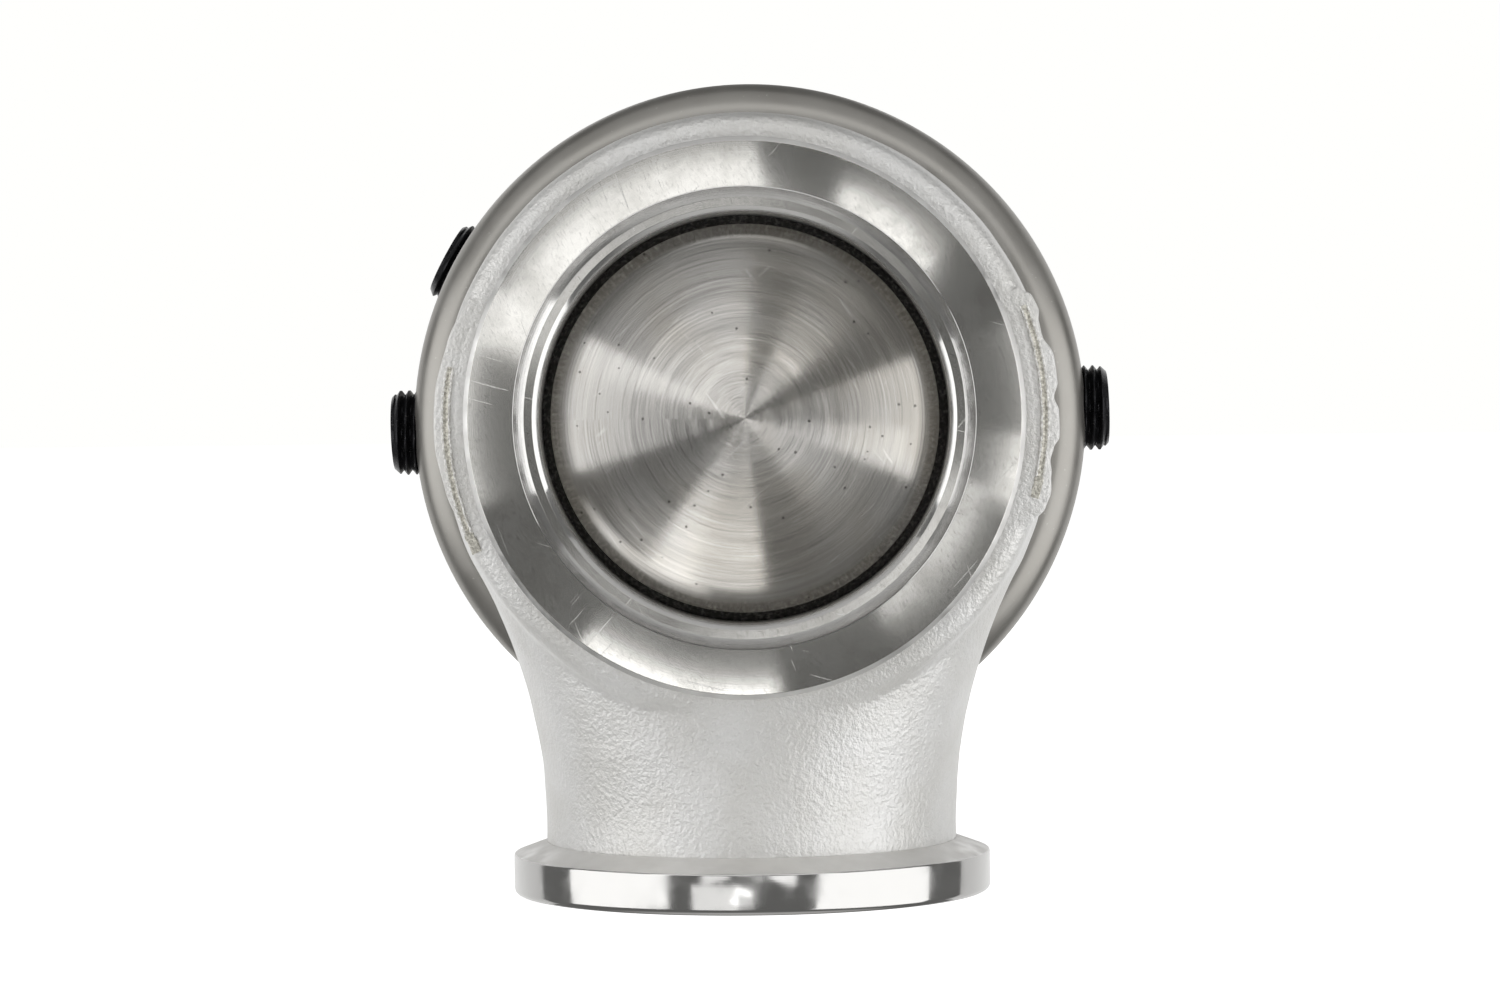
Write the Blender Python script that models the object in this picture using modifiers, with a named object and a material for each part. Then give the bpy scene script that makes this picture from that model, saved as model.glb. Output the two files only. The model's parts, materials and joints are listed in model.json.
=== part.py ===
"""External wastegate valve: a poppet valve in a cast elbow body, worked by a diaphragm actuator.

Frame: metres, +Z up.  The valve stands on its outlet flange at Z = 0.  The valve axis runs along Y at
Z = AXIS_HEIGHT, with the inlet facing -Y and the actuator behind the body.  The valve opens towards +Y.
Distances along the valve axis are given from the inlet face, and along_valve() turns them into Y.
"""

import math

import bmesh
import bpy
from mathutils import Vector

MM = 0.001

# Driving dimensions
TOTAL_DEPTH = 97.0 * MM
AXIS_HEIGHT = 51.05 * MM
OUTLET_AXIS = 32.0 * MM
BORE_RADIUS = 20.85 * MM
VALVE_LIFT = 8.5 * MM
GAP = 0.3 * MM
FIT = 0.2 * MM
RUNNING = 0.1 * MM

# Inlet flange, seat and valve head
INLET_FLANGE_RADIUS = 28.45 * MM
OUTLET_FLANGE_RADIUS = 25.8 * MM
FLANGE_RIM = 4.3 * MM
FLANGE_BEVEL = math.radians(20.0)
EDGE_CHAMFER = 0.5 * MM
SEAT_RING_RADIUS = 23.4 * MM
SEAT_RING_LENGTH = 11.0 * MM
SEAT_CONE_START = 8.8 * MM
VALVE_FACE_RADIUS = 18.7 * MM
VALVE_FRONT_RADIUS = 19.9 * MM
VALVE_RIM_RADIUS = 22.1 * MM
VALVE_FACE = 4.5 * MM
VALVE_FACE_EDGE = 5.5 * MM
STEM_RADIUS = 3.95 * MM
STEM_THREAD_RADIUS = 3.0 * MM
STEM_END = 80.0 * MM

# Cast body
INLET_NECK_RADIUS = 26.2 * MM
DRUM_RADIUS = 33.0 * MM
DRUM_FRONT_RADIUS = 31.4 * MM
DRUM_FRONT = 10.0 * MM
DRUM_REAR = 54.0 * MM
NECK_RADIUS = 22.1 * MM
NECK_STRAIGHT = 7.5 * MM
OUTLET_BORE_RADIUS = 19.0 * MM
CHAMBER_RADIUS = 27.5 * MM
CHAMBER_FRONT = 12.2 * MM
CHAMBER_REAR = 41.0 * MM
GUIDE_RADIUS = 5.8 * MM
GUIDE_FRONT = 33.2 * MM
GUIDE_REAR = 52.0 * MM
POCKET_FLOOR = 46.5 * MM
POCKET_INNER_RADIUS = 11.0 * MM
POCKET_OUTER_RADIUS = 17.5 * MM

# Actuator
ACTUATOR_RADIUS = 38.75 * MM
BASE_FRONT = 55.6 * MM
BASE_RIM_FRONT = 57.3 * MM
BASE_FLOOR = 62.0 * MM
BASE_REAR = 73.35 * MM
SEAL_FLOOR = 57.8 * MM
SEAL_POCKET_RADIUS = 8.1 * MM
SEAL_RADIUS = 7.8 * MM
CAP_FRONT = 73.65 * MM
CAP_SHOULDER = 89.0 * MM
AIR_CHAMBER_RADIUS = 30.5 * MM
TURRET_RADIUS = 28.5 * MM
HUB_RADIUS = 30.0 * MM
SPRING_POCKET_RADIUS = 22.6 * MM
CAP_CEILING = 93.5 * MM
BEAD_GROOVE_RADIUS = 32.3 * MM
WEB_MIDDLE = 69.4 * MM
DIAPHRAGM_THICKNESS = 0.9 * MM
PLATE_RADIUS = 24.5 * MM
PLATE_THICKNESS = 1.8 * MM
SPRING_FRONT = 72.3 * MM
ACTUATOR_CLOCKING = math.radians(1.4)

# Fasteners and ports
BASE_SCREW_SIZE = 5.0 * MM
BASE_SCREW_LENGTH = 11.5 * MM
BASE_SCREW_SEAT = 58.5 * MM
BASE_SCREW_HOLE = 2.8 * MM
BASE_SCREW_CIRCLE = 24.0 * MM
CAP_SCREW_SIZE = 4.0 * MM
CAP_SCREW_LENGTH = 20.0 * MM
CAP_SCREW_SEAT = 84.5 * MM
CAP_SCREW_HOLE = 2.3 * MM
CAP_SCREW_CIRCLE = 34.8 * MM
CAP_SCREW_START = math.radians(16.0)
PLUG_RADIUS = 4.95 * MM
PLUG_PITCH = 1.0 * MM
PLUG_END_RADIUS = 41.5 * MM
PLUG_LENGTH = 9.3 * MM
PLUG_CHAMFER = 0.7 * MM
THREAD_DEPTH = 0.55 * MM
PLUG_SOCKET = 5.0 * MM
BASE_PORT = 65.0 * MM
CAP_PORT = 82.0 * MM
CAP_PORT_ANGLE = math.radians(150.0)

BIG_STEPS = 36
MIDDLE_STEPS = 24
SMALL_STEPS = 20
HOLE_STEPS = 12
COUNTERBORE_STEPS = 14
FASTENER_STEPS = 12
PLUG_STEPS = 16
CUTTER_TURN = math.radians(1.7)


def clear_scene():
    for thing in list(bpy.data.objects):
        bpy.data.objects.remove(thing, do_unlink=True)


clear_scene()
PARTS = bpy.data.collections.new("wastegate_valve")
CUTTERS = bpy.data.collections.new("wastegate_valve_cutters")
bpy.context.scene.collection.children.link(PARTS)
bpy.context.scene.collection.children.link(CUTTERS)


# ---------------------------------------------------------------- materials

def principled(name, colour, roughness, metallic):
    material = bpy.data.materials.new(name)
    material.use_nodes = True
    shader = material.node_tree.nodes["Principled BSDF"]
    shader.inputs["Base Color"].default_value = (*colour, 1.0)
    shader.inputs["Roughness"].default_value = roughness
    shader.inputs["Metallic"].default_value = metallic
    return material


CAST_STEEL = principled("cast_stainless", (0.62, 0.61, 0.59), 0.42, 1.0)
SEAT_STEEL = principled("seat_steel", (0.66, 0.65, 0.63), 0.22, 1.0)
VALVE_STEEL = principled("valve_steel", (0.60, 0.58, 0.55), 0.26, 1.0)
BRONZE = principled("guide_bronze", (0.55, 0.39, 0.22), 0.38, 1.0)
GASKET = principled("heat_gasket", (0.28, 0.27, 0.26), 0.75, 0.3)
ANODISED = principled("anodised_aluminium", (0.30, 0.29, 0.27), 0.40, 1.0)
BLACK_STEEL = principled("black_oxide_steel", (0.018, 0.018, 0.020), 0.38, 0.8)
SILICONE = principled("diaphragm_silicone", (0.16, 0.05, 0.03), 0.62, 0.0)
SEAL = principled("seal_rubber", (0.03, 0.03, 0.03), 0.55, 0.0)
PLATE_METAL = principled("plate_aluminium", (0.68, 0.68, 0.67), 0.35, 1.0)
ZINC = principled("plated_steel", (0.58, 0.57, 0.53), 0.32, 1.0)
SPRING_STEEL = principled("spring_steel", (0.30, 0.30, 0.31), 0.34, 1.0)


# ------------------------------------------------------------------ helpers

def along_valve(distance):
    """Y of a place on the valve axis, from its distance behind the inlet face."""
    return distance - TOTAL_DEPTH / 2.0


def add_object(name, data, collection, material=None):
    thing = bpy.data.objects.new(name, data)
    collection.objects.link(thing)
    if material:
        data.materials.append(material)
    if collection is CUTTERS:
        thing.hide_render = True
        thing.display_type = "WIRE"
    return thing


def rounded(points, segments):
    """Outline points; one with a third value has its corner replaced by an arc of that radius."""
    outline = []
    for index, point in enumerate(points):
        if len(point) == 2:
            outline.append(Vector(point))
            continue
        corner = Vector(point[:2])
        before = (Vector(points[index - 1][:2]) - corner).normalized()
        after = (Vector(points[(index + 1) % len(points)][:2]) - corner).normalized()
        half_angle = before.angle(after) / 2.0
        centre = corner + (before + after).normalized() * point[2] / math.sin(half_angle)
        start = corner + before * point[2] / math.tan(half_angle) - centre
        sweep = math.pi - 2.0 * half_angle
        turn = math.copysign(sweep, start.x * (corner - centre).y - start.y * (corner - centre).x)
        for step in range(segments + 1):
            angle = turn * step / segments
            outline.append(centre + Vector((
                start.x * math.cos(angle) - start.y * math.sin(angle),
                start.x * math.sin(angle) + start.y * math.cos(angle))))
    return outline


def turned(name, points, collection, material=None, ring=False, steps=BIG_STEPS, segments=2):
    """A turned piece about its own Z.  The outline runs down its outer side, and a ring's outline closes."""
    outline = rounded(points, segments)
    mesh = bpy.data.meshes.new(name)
    edges = [(index, index + 1) for index in range(len(outline) - 1)]
    if ring:
        edges.append((len(outline) - 1, 0))
    mesh.from_pydata([(point.x, 0.0, point.y) for point in outline], edges, [])
    thing = add_object(name, mesh, collection, material)
    screw = thing.modifiers.new("turn", "SCREW")
    screw.axis = "Z"
    screw.steps = steps
    screw.render_steps = steps
    screw.use_merge_vertices = True
    screw.merge_threshold = 0.00001
    screw.use_smooth_shade = True
    return thing


def own_turn(thing):
    """Cutters are turned by part of a facet, so that no edge of theirs falls on an edge of the piece."""
    return CUTTER_TURN if CUTTERS in thing.users_collection else 0.0


def on_valve_axis(thing):
    """Stands a turned piece on the valve axis, so that its own Z points to the rear."""
    thing.location = (0.0, -TOTAL_DEPTH / 2.0, AXIS_HEIGHT)
    thing.rotation_euler = (-math.pi / 2.0, own_turn(thing), 0.0)
    return thing


def at_outlet(thing):
    """Stands a turned piece upright on the outlet axis."""
    thing.location = (0.0, along_valve(OUTLET_AXIS), 0.0)
    thing.rotation_euler = (0.0, 0.0, own_turn(thing))
    return thing


def around_valve(radius, angle, distance):
    """A place at an angle round the valve axis, counted from +X towards +Z."""
    return (radius * math.cos(angle), along_valve(distance), AXIS_HEIGHT + radius * math.sin(angle))


def facing_rear(thing, location):
    thing.location = location
    thing.rotation_euler = (-math.pi / 2.0, own_turn(thing), 0.0)
    return thing


def facing_out(thing, angle, distance):
    """Stands a piece on the valve axis at this distance, so that its own Z points out at the angle."""
    thing.location = (0.0, along_valve(distance), AXIS_HEIGHT)
    thing.rotation_euler = (0.0, math.pi / 2.0 - angle, 0.0)
    return thing


def boolean(thing, tool, operation):
    modifier = thing.modifiers.new(operation.lower() + "_" + tool.name, "BOOLEAN")
    modifier.operation = operation
    modifier.solver = "EXACT"
    modifier.object = tool


def cut(thing, *tools):
    for tool in tools:
        boolean(thing, tool, "DIFFERENCE")


def join(thing, *tools):
    for tool in tools:
        boolean(thing, tool, "UNION")


def rod_cutter(name, radius, low, high, steps=SMALL_STEPS):
    return turned(name, [(0.0, high), (radius, high), (radius, low), (0.0, low)], CUTTERS, steps=steps)


def hexagon(name, across_flats, low, high, collection, material=None):
    """A hexagonal bar along its own Z."""
    mesh = bpy.data.meshes.new(name)
    shape = bmesh.new()
    corner_radius = across_flats / math.sqrt(3.0)
    bmesh.ops.create_cone(shape, cap_ends=True, segments=6, radius1=corner_radius, radius2=corner_radius,
                          depth=high - low)
    bmesh.ops.translate(shape, verts=shape.verts, vec=(0.0, 0.0, (low + high) / 2.0))
    shape.to_mesh(mesh)
    shape.free()
    return add_object(name, mesh, collection, material)


# ---------------------------------------------------------------- cast body

def neck_half_width(height):
    """Half width of the neck seen from the front: a straight pipe, then an arc that meets the drum."""
    reach = AXIS_HEIGHT - NECK_STRAIGHT
    blend = (NECK_RADIUS ** 2 + reach ** 2 - DRUM_RADIUS ** 2) / (2.0 * (DRUM_RADIUS - NECK_RADIUS))
    meeting = AXIS_HEIGHT - reach * DRUM_RADIUS / (DRUM_RADIUS + blend)
    if height <= NECK_STRAIGHT:
        return NECK_RADIUS
    if height < meeting:
        return NECK_RADIUS + blend - math.sqrt(blend ** 2 - (height - NECK_STRAIGHT) ** 2)
    inside = DRUM_RADIUS - (height - meeting) * 0.08
    return math.sqrt(inside ** 2 - (height - AXIS_HEIGHT) ** 2)


def neck_loft():
    """Outlet neck: round at the flange, and a rounded box where it enters the drum."""
    bottom = 4.6 * MM
    top = 45.0 * MM
    sections = 10
    around = BIG_STEPS
    sinking = 0.8 * MM
    mesh = bpy.data.meshes.new("neck_loft")
    shape = bmesh.new()
    rings = []
    for section in range(sections):
        height = bottom + (top - bottom) * section / (sections - 1)
        rise = max(0.0, (height - NECK_STRAIGHT) / (top - NECK_STRAIGHT))
        width = neck_half_width(height)
        depth = NECK_RADIUS - sinking * rise
        power = 2.0 / (2.0 + 3.2 * rise ** 1.5)
        ring = []
        for corner in range(around):
            angle = math.tau * corner / around
            side = math.copysign(abs(math.cos(angle)) ** power, math.cos(angle))
            front = math.copysign(abs(math.sin(angle)) ** power, math.sin(angle))
            ring.append(shape.verts.new((width * side, depth * front, height)))
        rings.append(ring)
    for lower, upper in zip(rings, rings[1:]):
        for corner in range(around):
            following = (corner + 1) % around
            shape.faces.new((lower[corner], lower[following], upper[following], upper[corner]))
    shape.faces.new(list(reversed(rings[0])))
    shape.faces.new(rings[-1])
    shape.to_mesh(mesh)
    shape.free()
    neck = add_object("neck_loft", mesh, CUTTERS)
    neck.location = (0.0, along_valve(OUTLET_AXIS), 0.0)
    return neck


def make_valve_body():
    inlet_bevel = (INLET_FLANGE_RADIUS - INLET_NECK_RADIUS) * math.tan(FLANGE_BEVEL)
    outlet_bevel = (OUTLET_FLANGE_RADIUS - NECK_RADIUS) * math.tan(FLANGE_BEVEL)
    body = on_valve_axis(turned("valve_body", [
        (0.0, DRUM_REAR),
        (DRUM_RADIUS, DRUM_REAR, 0.6 * MM),
        (DRUM_RADIUS, 30.0 * MM),
        (DRUM_FRONT_RADIUS, DRUM_FRONT, 1.6 * MM),
        (INLET_NECK_RADIUS, DRUM_FRONT, 1.2 * MM),
        (INLET_NECK_RADIUS, FLANGE_RIM + inlet_bevel),
        (INLET_FLANGE_RADIUS, FLANGE_RIM),
        (INLET_FLANGE_RADIUS, EDGE_CHAMFER),
        (INLET_FLANGE_RADIUS - EDGE_CHAMFER, 0.0),
        (0.0, 0.0)], PARTS, CAST_STEEL))
    outlet_flange = at_outlet(turned("outlet_flange", [
        (0.0, 8.0 * MM),
        (NECK_RADIUS - GAP, 8.0 * MM),
        (NECK_RADIUS - GAP, FLANGE_RIM + outlet_bevel),
        (OUTLET_FLANGE_RADIUS, FLANGE_RIM, 0.5 * MM),
        (OUTLET_FLANGE_RADIUS, 0.0, 0.65 * MM),
        (0.0, 0.0)], CUTTERS))
    join(body, neck_loft(), outlet_flange)
    flow_chamber = on_valve_axis(turned("flow_chamber", [
        (0.0, GUIDE_FRONT + 1.0 * MM),
        (GUIDE_RADIUS + 2.0 * MM, GUIDE_FRONT + 1.0 * MM),
        (GUIDE_RADIUS + 4.5 * MM, CHAMBER_REAR, 2.5 * MM),
        (CHAMBER_RADIUS, CHAMBER_REAR, 4.0 * MM),
        (CHAMBER_RADIUS, CHAMBER_FRONT, 1.5 * MM),
        (VALVE_RIM_RADIUS + 0.8 * MM, CHAMBER_FRONT),
        (VALVE_RIM_RADIUS + 0.8 * MM, SEAT_RING_LENGTH + FIT),
        (SEAT_RING_RADIUS + FIT, SEAT_RING_LENGTH + FIT),
        (SEAT_RING_RADIUS + FIT, -1.0 * MM),
        (0.0, -1.0 * MM)], CUTTERS))
    duct = at_outlet(turned("outlet_duct", [
        (0.0, 36.0 * MM),
        (12.0 * MM, 34.0 * MM, 8.0 * MM),
        (OUTLET_BORE_RADIUS, 24.0 * MM, 8.0 * MM),
        (OUTLET_BORE_RADIUS, 0.6 * MM),
        (OUTLET_BORE_RADIUS + 1.6 * MM, -1.0 * MM),
        (0.0, -1.0 * MM)], CUTTERS))
    guide_bore = on_valve_axis(rod_cutter("guide_bore", GUIDE_RADIUS + FIT, GUIDE_FRONT - 3.0 * MM,
                                          DRUM_REAR + 2.0 * MM))
    rear_pocket = on_valve_axis(turned("rear_pocket", [
        (POCKET_OUTER_RADIUS, DRUM_REAR + 2.0 * MM),
        (POCKET_OUTER_RADIUS, POCKET_FLOOR, 2.0 * MM),
        (POCKET_INNER_RADIUS, POCKET_FLOOR, 2.0 * MM),
        (POCKET_INNER_RADIUS, DRUM_REAR + 2.0 * MM)], CUTTERS, ring=True))
    cut(body, flow_chamber, duct, guide_bore, rear_pocket)
    for number in range(4):
        hole = rod_cutter(f"body_screw_hole_{number + 1}", 2.75 * MM, 0.0, 10.0 * MM, HOLE_STEPS)
        cut(body, facing_rear(hole, around_valve(BASE_SCREW_CIRCLE, base_screw_angle(number), POCKET_FLOOR)))


def make_seat_ring():
    """Pressed in from the front.  Its lip is stepped, and its rear cone is the valve seat."""
    step_depth = 1.1 * MM
    shelf_radius = 22.35 * MM
    lip_radius = 21.5 * MM
    cone_radius = 22.8 * MM
    on_valve_axis(turned("seat_ring", [
        (SEAT_RING_RADIUS, SEAT_RING_LENGTH),
        (SEAT_RING_RADIUS, 0.0),
        (shelf_radius, step_depth),
        (lip_radius, step_depth),
        (BORE_RADIUS, step_depth + lip_radius - BORE_RADIUS),
        (BORE_RADIUS, SEAT_CONE_START),
        (cone_radius, SEAT_CONE_START + cone_radius - BORE_RADIUS),
        (cone_radius, SEAT_RING_LENGTH)], PARTS, SEAT_STEEL, ring=True))


def make_stem_guide():
    bore = STEM_RADIUS + RUNNING
    on_valve_axis(turned("stem_guide", [
        (GUIDE_RADIUS, GUIDE_REAR),
        (GUIDE_RADIUS, GUIDE_FRONT + 0.5 * MM),
        (GUIDE_RADIUS - 0.5 * MM, GUIDE_FRONT),
        (bore + 0.4 * MM, GUIDE_FRONT),
        (bore, GUIDE_FRONT + 0.4 * MM),
        (bore, GUIDE_REAR)], PARTS, BRONZE, ring=True, steps=SMALL_STEPS))


def make_valve():
    """Poppet valve: domed face, 45 degree cone a hair behind the seat, and a stem that ends in a thread."""
    dome = [(VALVE_FACE_RADIUS * share, VALVE_FACE_EDGE - (VALVE_FACE_EDGE - VALVE_FACE) * (1.0 - share ** 2))
            for share in (1.0, 0.75, 0.5, 0.25)]
    seat_clearance = FIT * math.sqrt(2.0)
    cone_at_front = SEAT_CONE_START + seat_clearance - (BORE_RADIUS - VALVE_FRONT_RADIUS)
    cone_at_rim = cone_at_front + VALVE_RIM_RADIUS - VALVE_FRONT_RADIUS
    stem_shoulder = WEB_MIDDLE - 2.8 * MM
    on_valve_axis(turned("valve", [
        (0.0, STEM_END),
        (STEM_THREAD_RADIUS - 0.5 * MM, STEM_END),
        (STEM_THREAD_RADIUS, STEM_END - 0.5 * MM),
        (STEM_THREAD_RADIUS, stem_shoulder),
        (STEM_RADIUS, stem_shoulder),
        (STEM_RADIUS, 22.0 * MM, 12.0 * MM),
        (7.0 * MM, 15.0 * MM, 10.0 * MM),
        (VALVE_RIM_RADIUS, cone_at_rim + 1.4 * MM),
        (VALVE_RIM_RADIUS, cone_at_rim),
        (VALVE_FRONT_RADIUS, cone_at_front),
        (VALVE_FRONT_RADIUS, VALVE_FACE_EDGE + 0.4 * MM),
        *dome,
        (0.0, VALVE_FACE)], PARTS, VALVE_STEEL))


# ----------------------------------------------------------------- actuator

def base_screw_angle(number):
    return math.radians(45.0 + 90.0 * number)


def cap_screw_angle(number):
    return CAP_SCREW_START + math.radians(60.0 * number) + ACTUATOR_CLOCKING


def make_heat_gasket():
    gasket = on_valve_axis(turned("heat_gasket", [
        (HUB_RADIUS - FIT, BASE_FRONT - GAP),
        (HUB_RADIUS - FIT, DRUM_REAR + GAP),
        (8.0 * MM, DRUM_REAR + GAP),
        (8.0 * MM, BASE_FRONT - GAP)], PARTS, GASKET, ring=True))
    for number in range(4):
        hole = rod_cutter(f"gasket_screw_hole_{number + 1}", BASE_SCREW_HOLE, -3.0 * MM, 3.0 * MM, HOLE_STEPS)
        cut(gasket, facing_rear(hole, around_valve(BASE_SCREW_CIRCLE, base_screw_angle(number), DRUM_REAR)))


def make_actuator_base():
    """Lower half of the actuator: a round rim, an air gap behind the body and a floor with the stem seal."""
    rim_inner = 34.6 * MM
    air_gap_floor = 59.0 * MM
    bead_seat = BASE_REAR - 0.6 * MM
    base = on_valve_axis(turned("actuator_base", [
        (BEAD_GROOVE_RADIUS, BASE_REAR),
        (ACTUATOR_RADIUS, BASE_REAR, 0.4 * MM),
        (ACTUATOR_RADIUS, BASE_RIM_FRONT, 4.1 * MM),
        (rim_inner, BASE_RIM_FRONT),
        (rim_inner, air_gap_floor),
        (HUB_RADIUS, air_gap_floor),
        (HUB_RADIUS, BASE_FRONT),
        (STEM_RADIUS + GAP, BASE_FRONT),
        (STEM_RADIUS + GAP, SEAL_FLOOR),
        (SEAL_POCKET_RADIUS, SEAL_FLOOR),
        (SEAL_POCKET_RADIUS, BASE_FLOOR),
        (AIR_CHAMBER_RADIUS, BASE_FLOOR, 1.5 * MM),
        (AIR_CHAMBER_RADIUS, bead_seat, 0.4 * MM),
        (BEAD_GROOVE_RADIUS, bead_seat)], PARTS, ANODISED, ring=True))
    for name, angle in (("right", 0.0), ("left", math.pi)):
        port = rod_cutter(f"port_{name}", PLUG_RADIUS + FIT, AIR_CHAMBER_RADIUS - 2.0 * MM,
                          ACTUATOR_RADIUS + 2.0 * MM)
        cut(base, facing_out(port, angle + ACTUATOR_CLOCKING, BASE_PORT))
    for number in range(4):
        place = around_valve(BASE_SCREW_CIRCLE, base_screw_angle(number), BASE_SCREW_SEAT)
        hole = rod_cutter(f"base_screw_hole_{number + 1}", BASE_SCREW_HOLE, -5.0 * MM, 1.0 * MM, HOLE_STEPS)
        counterbore = rod_cutter(f"base_counterbore_{number + 1}", 4.6 * MM, 0.0, 6.0 * MM, COUNTERBORE_STEPS)
        cut(base, facing_rear(hole, place), facing_rear(counterbore, place))
    for number in range(6):
        place = around_valve(CAP_SCREW_CIRCLE, cap_screw_angle(number), BASE_REAR)
        hole = rod_cutter(f"base_tapped_hole_{number + 1}", 2.25 * MM, -10.0 * MM, 1.0 * MM, HOLE_STEPS)
        cut(base, facing_rear(hole, place))


def make_actuator_cap():
    """Upper half of the actuator, with a spring pocket in its turret and a ledge that stops the plates."""
    ledge = 86.4 * MM
    bead_seat = CAP_FRONT + 0.6 * MM
    dish_radius = 21.0 * MM
    cap = on_valve_axis(turned("actuator_cap", [
        (0.0, TOTAL_DEPTH - 0.8 * MM),
        (dish_radius, TOTAL_DEPTH - 0.8 * MM),
        (dish_radius + 0.8 * MM, TOTAL_DEPTH),
        (TURRET_RADIUS, TOTAL_DEPTH, 2.0 * MM),
        (TURRET_RADIUS, CAP_SHOULDER, 2.0 * MM),
        (ACTUATOR_RADIUS, CAP_SHOULDER, 1.5 * MM),
        (ACTUATOR_RADIUS, CAP_FRONT, 0.4 * MM),
        (BEAD_GROOVE_RADIUS, CAP_FRONT),
        (BEAD_GROOVE_RADIUS, bead_seat),
        (AIR_CHAMBER_RADIUS, bead_seat, 0.4 * MM),
        (AIR_CHAMBER_RADIUS, ledge, 1.0 * MM),
        (SPRING_POCKET_RADIUS, ledge),
        (SPRING_POCKET_RADIUS, CAP_CEILING, 1.0 * MM),
        (0.0, CAP_CEILING)], PARTS, ANODISED))
    port = rod_cutter("port_cap", PLUG_RADIUS + FIT, AIR_CHAMBER_RADIUS - 2.0 * MM,
                      ACTUATOR_RADIUS + 2.0 * MM)
    cut(cap, facing_out(port, CAP_PORT_ANGLE + ACTUATOR_CLOCKING, CAP_PORT))
    for number in range(6):
        place = around_valve(CAP_SCREW_CIRCLE, cap_screw_angle(number), CAP_SCREW_SEAT)
        hole = rod_cutter(f"cap_screw_hole_{number + 1}", CAP_SCREW_HOLE, -12.0 * MM, 1.0 * MM, HOLE_STEPS)
        counterbore = rod_cutter(f"cap_counterbore_{number + 1}", 3.55 * MM, 0.0, 6.0 * MM, COUNTERBORE_STEPS)
        cut(cap, facing_rear(hole, place), facing_rear(counterbore, place))


def make_stem_seal():
    front = SEAL_FLOOR + GAP
    rear = front + 2.7 * MM
    on_valve_axis(turned("stem_seal", [
        (SEAL_RADIUS, rear, 0.5 * MM),
        (SEAL_RADIUS, front, 0.5 * MM),
        (STEM_RADIUS + RUNNING, front),
        (STEM_RADIUS + RUNNING + 0.6 * MM, (front + rear) / 2.0),
        (STEM_RADIUS + RUNNING, rear)], PARTS, SEAL, ring=True, steps=SMALL_STEPS))


def make_seal_retainer():
    front = 61.1 * MM
    rear = front + 0.8 * MM
    bore = STEM_RADIUS + 1.25 * MM
    on_valve_axis(turned("seal_retainer", [
        (SEAL_RADIUS, rear),
        (SEAL_RADIUS, front),
        (bore, front),
        (bore, rear)], PARTS, ZINC, ring=True, steps=SMALL_STEPS))


def make_diaphragm():
    """Moulded rolling diaphragm: a flat web, a loop that rolls up the wall and a flat bead at its edge."""
    half = DIAPHRAGM_THICKNESS / 2.0
    inner_leg = 25.2 * MM
    outer_leg = 29.9 * MM
    loop_centre = 76.8 * MM
    bead_middle = (BASE_REAR + CAP_FRONT) / 2.0
    middle = (inner_leg + outer_leg) / 2.0
    reach = (outer_leg - inner_leg) / 2.0
    arc = [math.radians(45.0 * step) for step in range(5)]
    rear_side = [(middle + (reach + half) * math.cos(turn), loop_centre + (reach + half) * math.sin(turn))
                 for turn in arc]
    front_side = [(middle - (reach - half) * math.cos(turn), loop_centre + (reach - half) * math.sin(turn))
                  for turn in arc]
    # The outline starts at the bead's outer edge and ends on the rear side of the web.
    on_valve_axis(turned("diaphragm", [
        (32.0 * MM, bead_middle + half),
        (32.0 * MM, bead_middle - half),
        (outer_leg - half, bead_middle - half, 0.5 * MM),
        *reversed(front_side),
        (inner_leg + half, WEB_MIDDLE - half, 1.0 * MM),
        (3.4 * MM, WEB_MIDDLE - half),
        (3.4 * MM, WEB_MIDDLE + half),
        (inner_leg - half, WEB_MIDDLE + half, 0.5 * MM),
        *reversed(rear_side),
        (outer_leg + half, bead_middle + half)], PARTS, SILICONE, ring=True, steps=MIDDLE_STEPS))


def make_plates():
    """Lower plate, upper plate with its spring rim, and the washer, all clamped to the stem."""
    web_front = WEB_MIDDLE - DIAPHRAGM_THICKNESS / 2.0 - GAP
    web_rear = WEB_MIDDLE + DIAPHRAGM_THICKNESS / 2.0 + GAP
    hole = STEM_THREAD_RADIUS + FIT
    upper_floor = web_rear + PLATE_THICKNESS
    rim_top = 77.5 * MM
    on_valve_axis(turned("lower_plate", [
        (PLATE_RADIUS, web_front),
        (PLATE_RADIUS, web_front - PLATE_THICKNESS, 0.6 * MM),
        (hole, web_front - PLATE_THICKNESS),
        (hole, web_front)], PARTS, PLATE_METAL, ring=True, steps=MIDDLE_STEPS))
    on_valve_axis(turned("upper_plate", [
        (PLATE_RADIUS - 1.4 * MM, rim_top),
        (PLATE_RADIUS - 0.1 * MM, rim_top, 0.4 * MM),
        (PLATE_RADIUS - 0.1 * MM, web_rear, 0.8 * MM),
        (hole, web_rear),
        (hole, upper_floor),
        (PLATE_RADIUS - 1.4 * MM, upper_floor)], PARTS, PLATE_METAL, ring=True, steps=MIDDLE_STEPS))
    washer_front = upper_floor + FIT
    washer_rear = washer_front + 1.0 * MM
    on_valve_axis(turned("plate_washer", [
        (7.5 * MM, washer_rear),
        (7.5 * MM, washer_front),
        (hole, washer_front),
        (hole, washer_rear)], PARTS, ZINC, ring=True, steps=SMALL_STEPS))
    make_lock_nut(washer_rear + FIT, hole)


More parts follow.
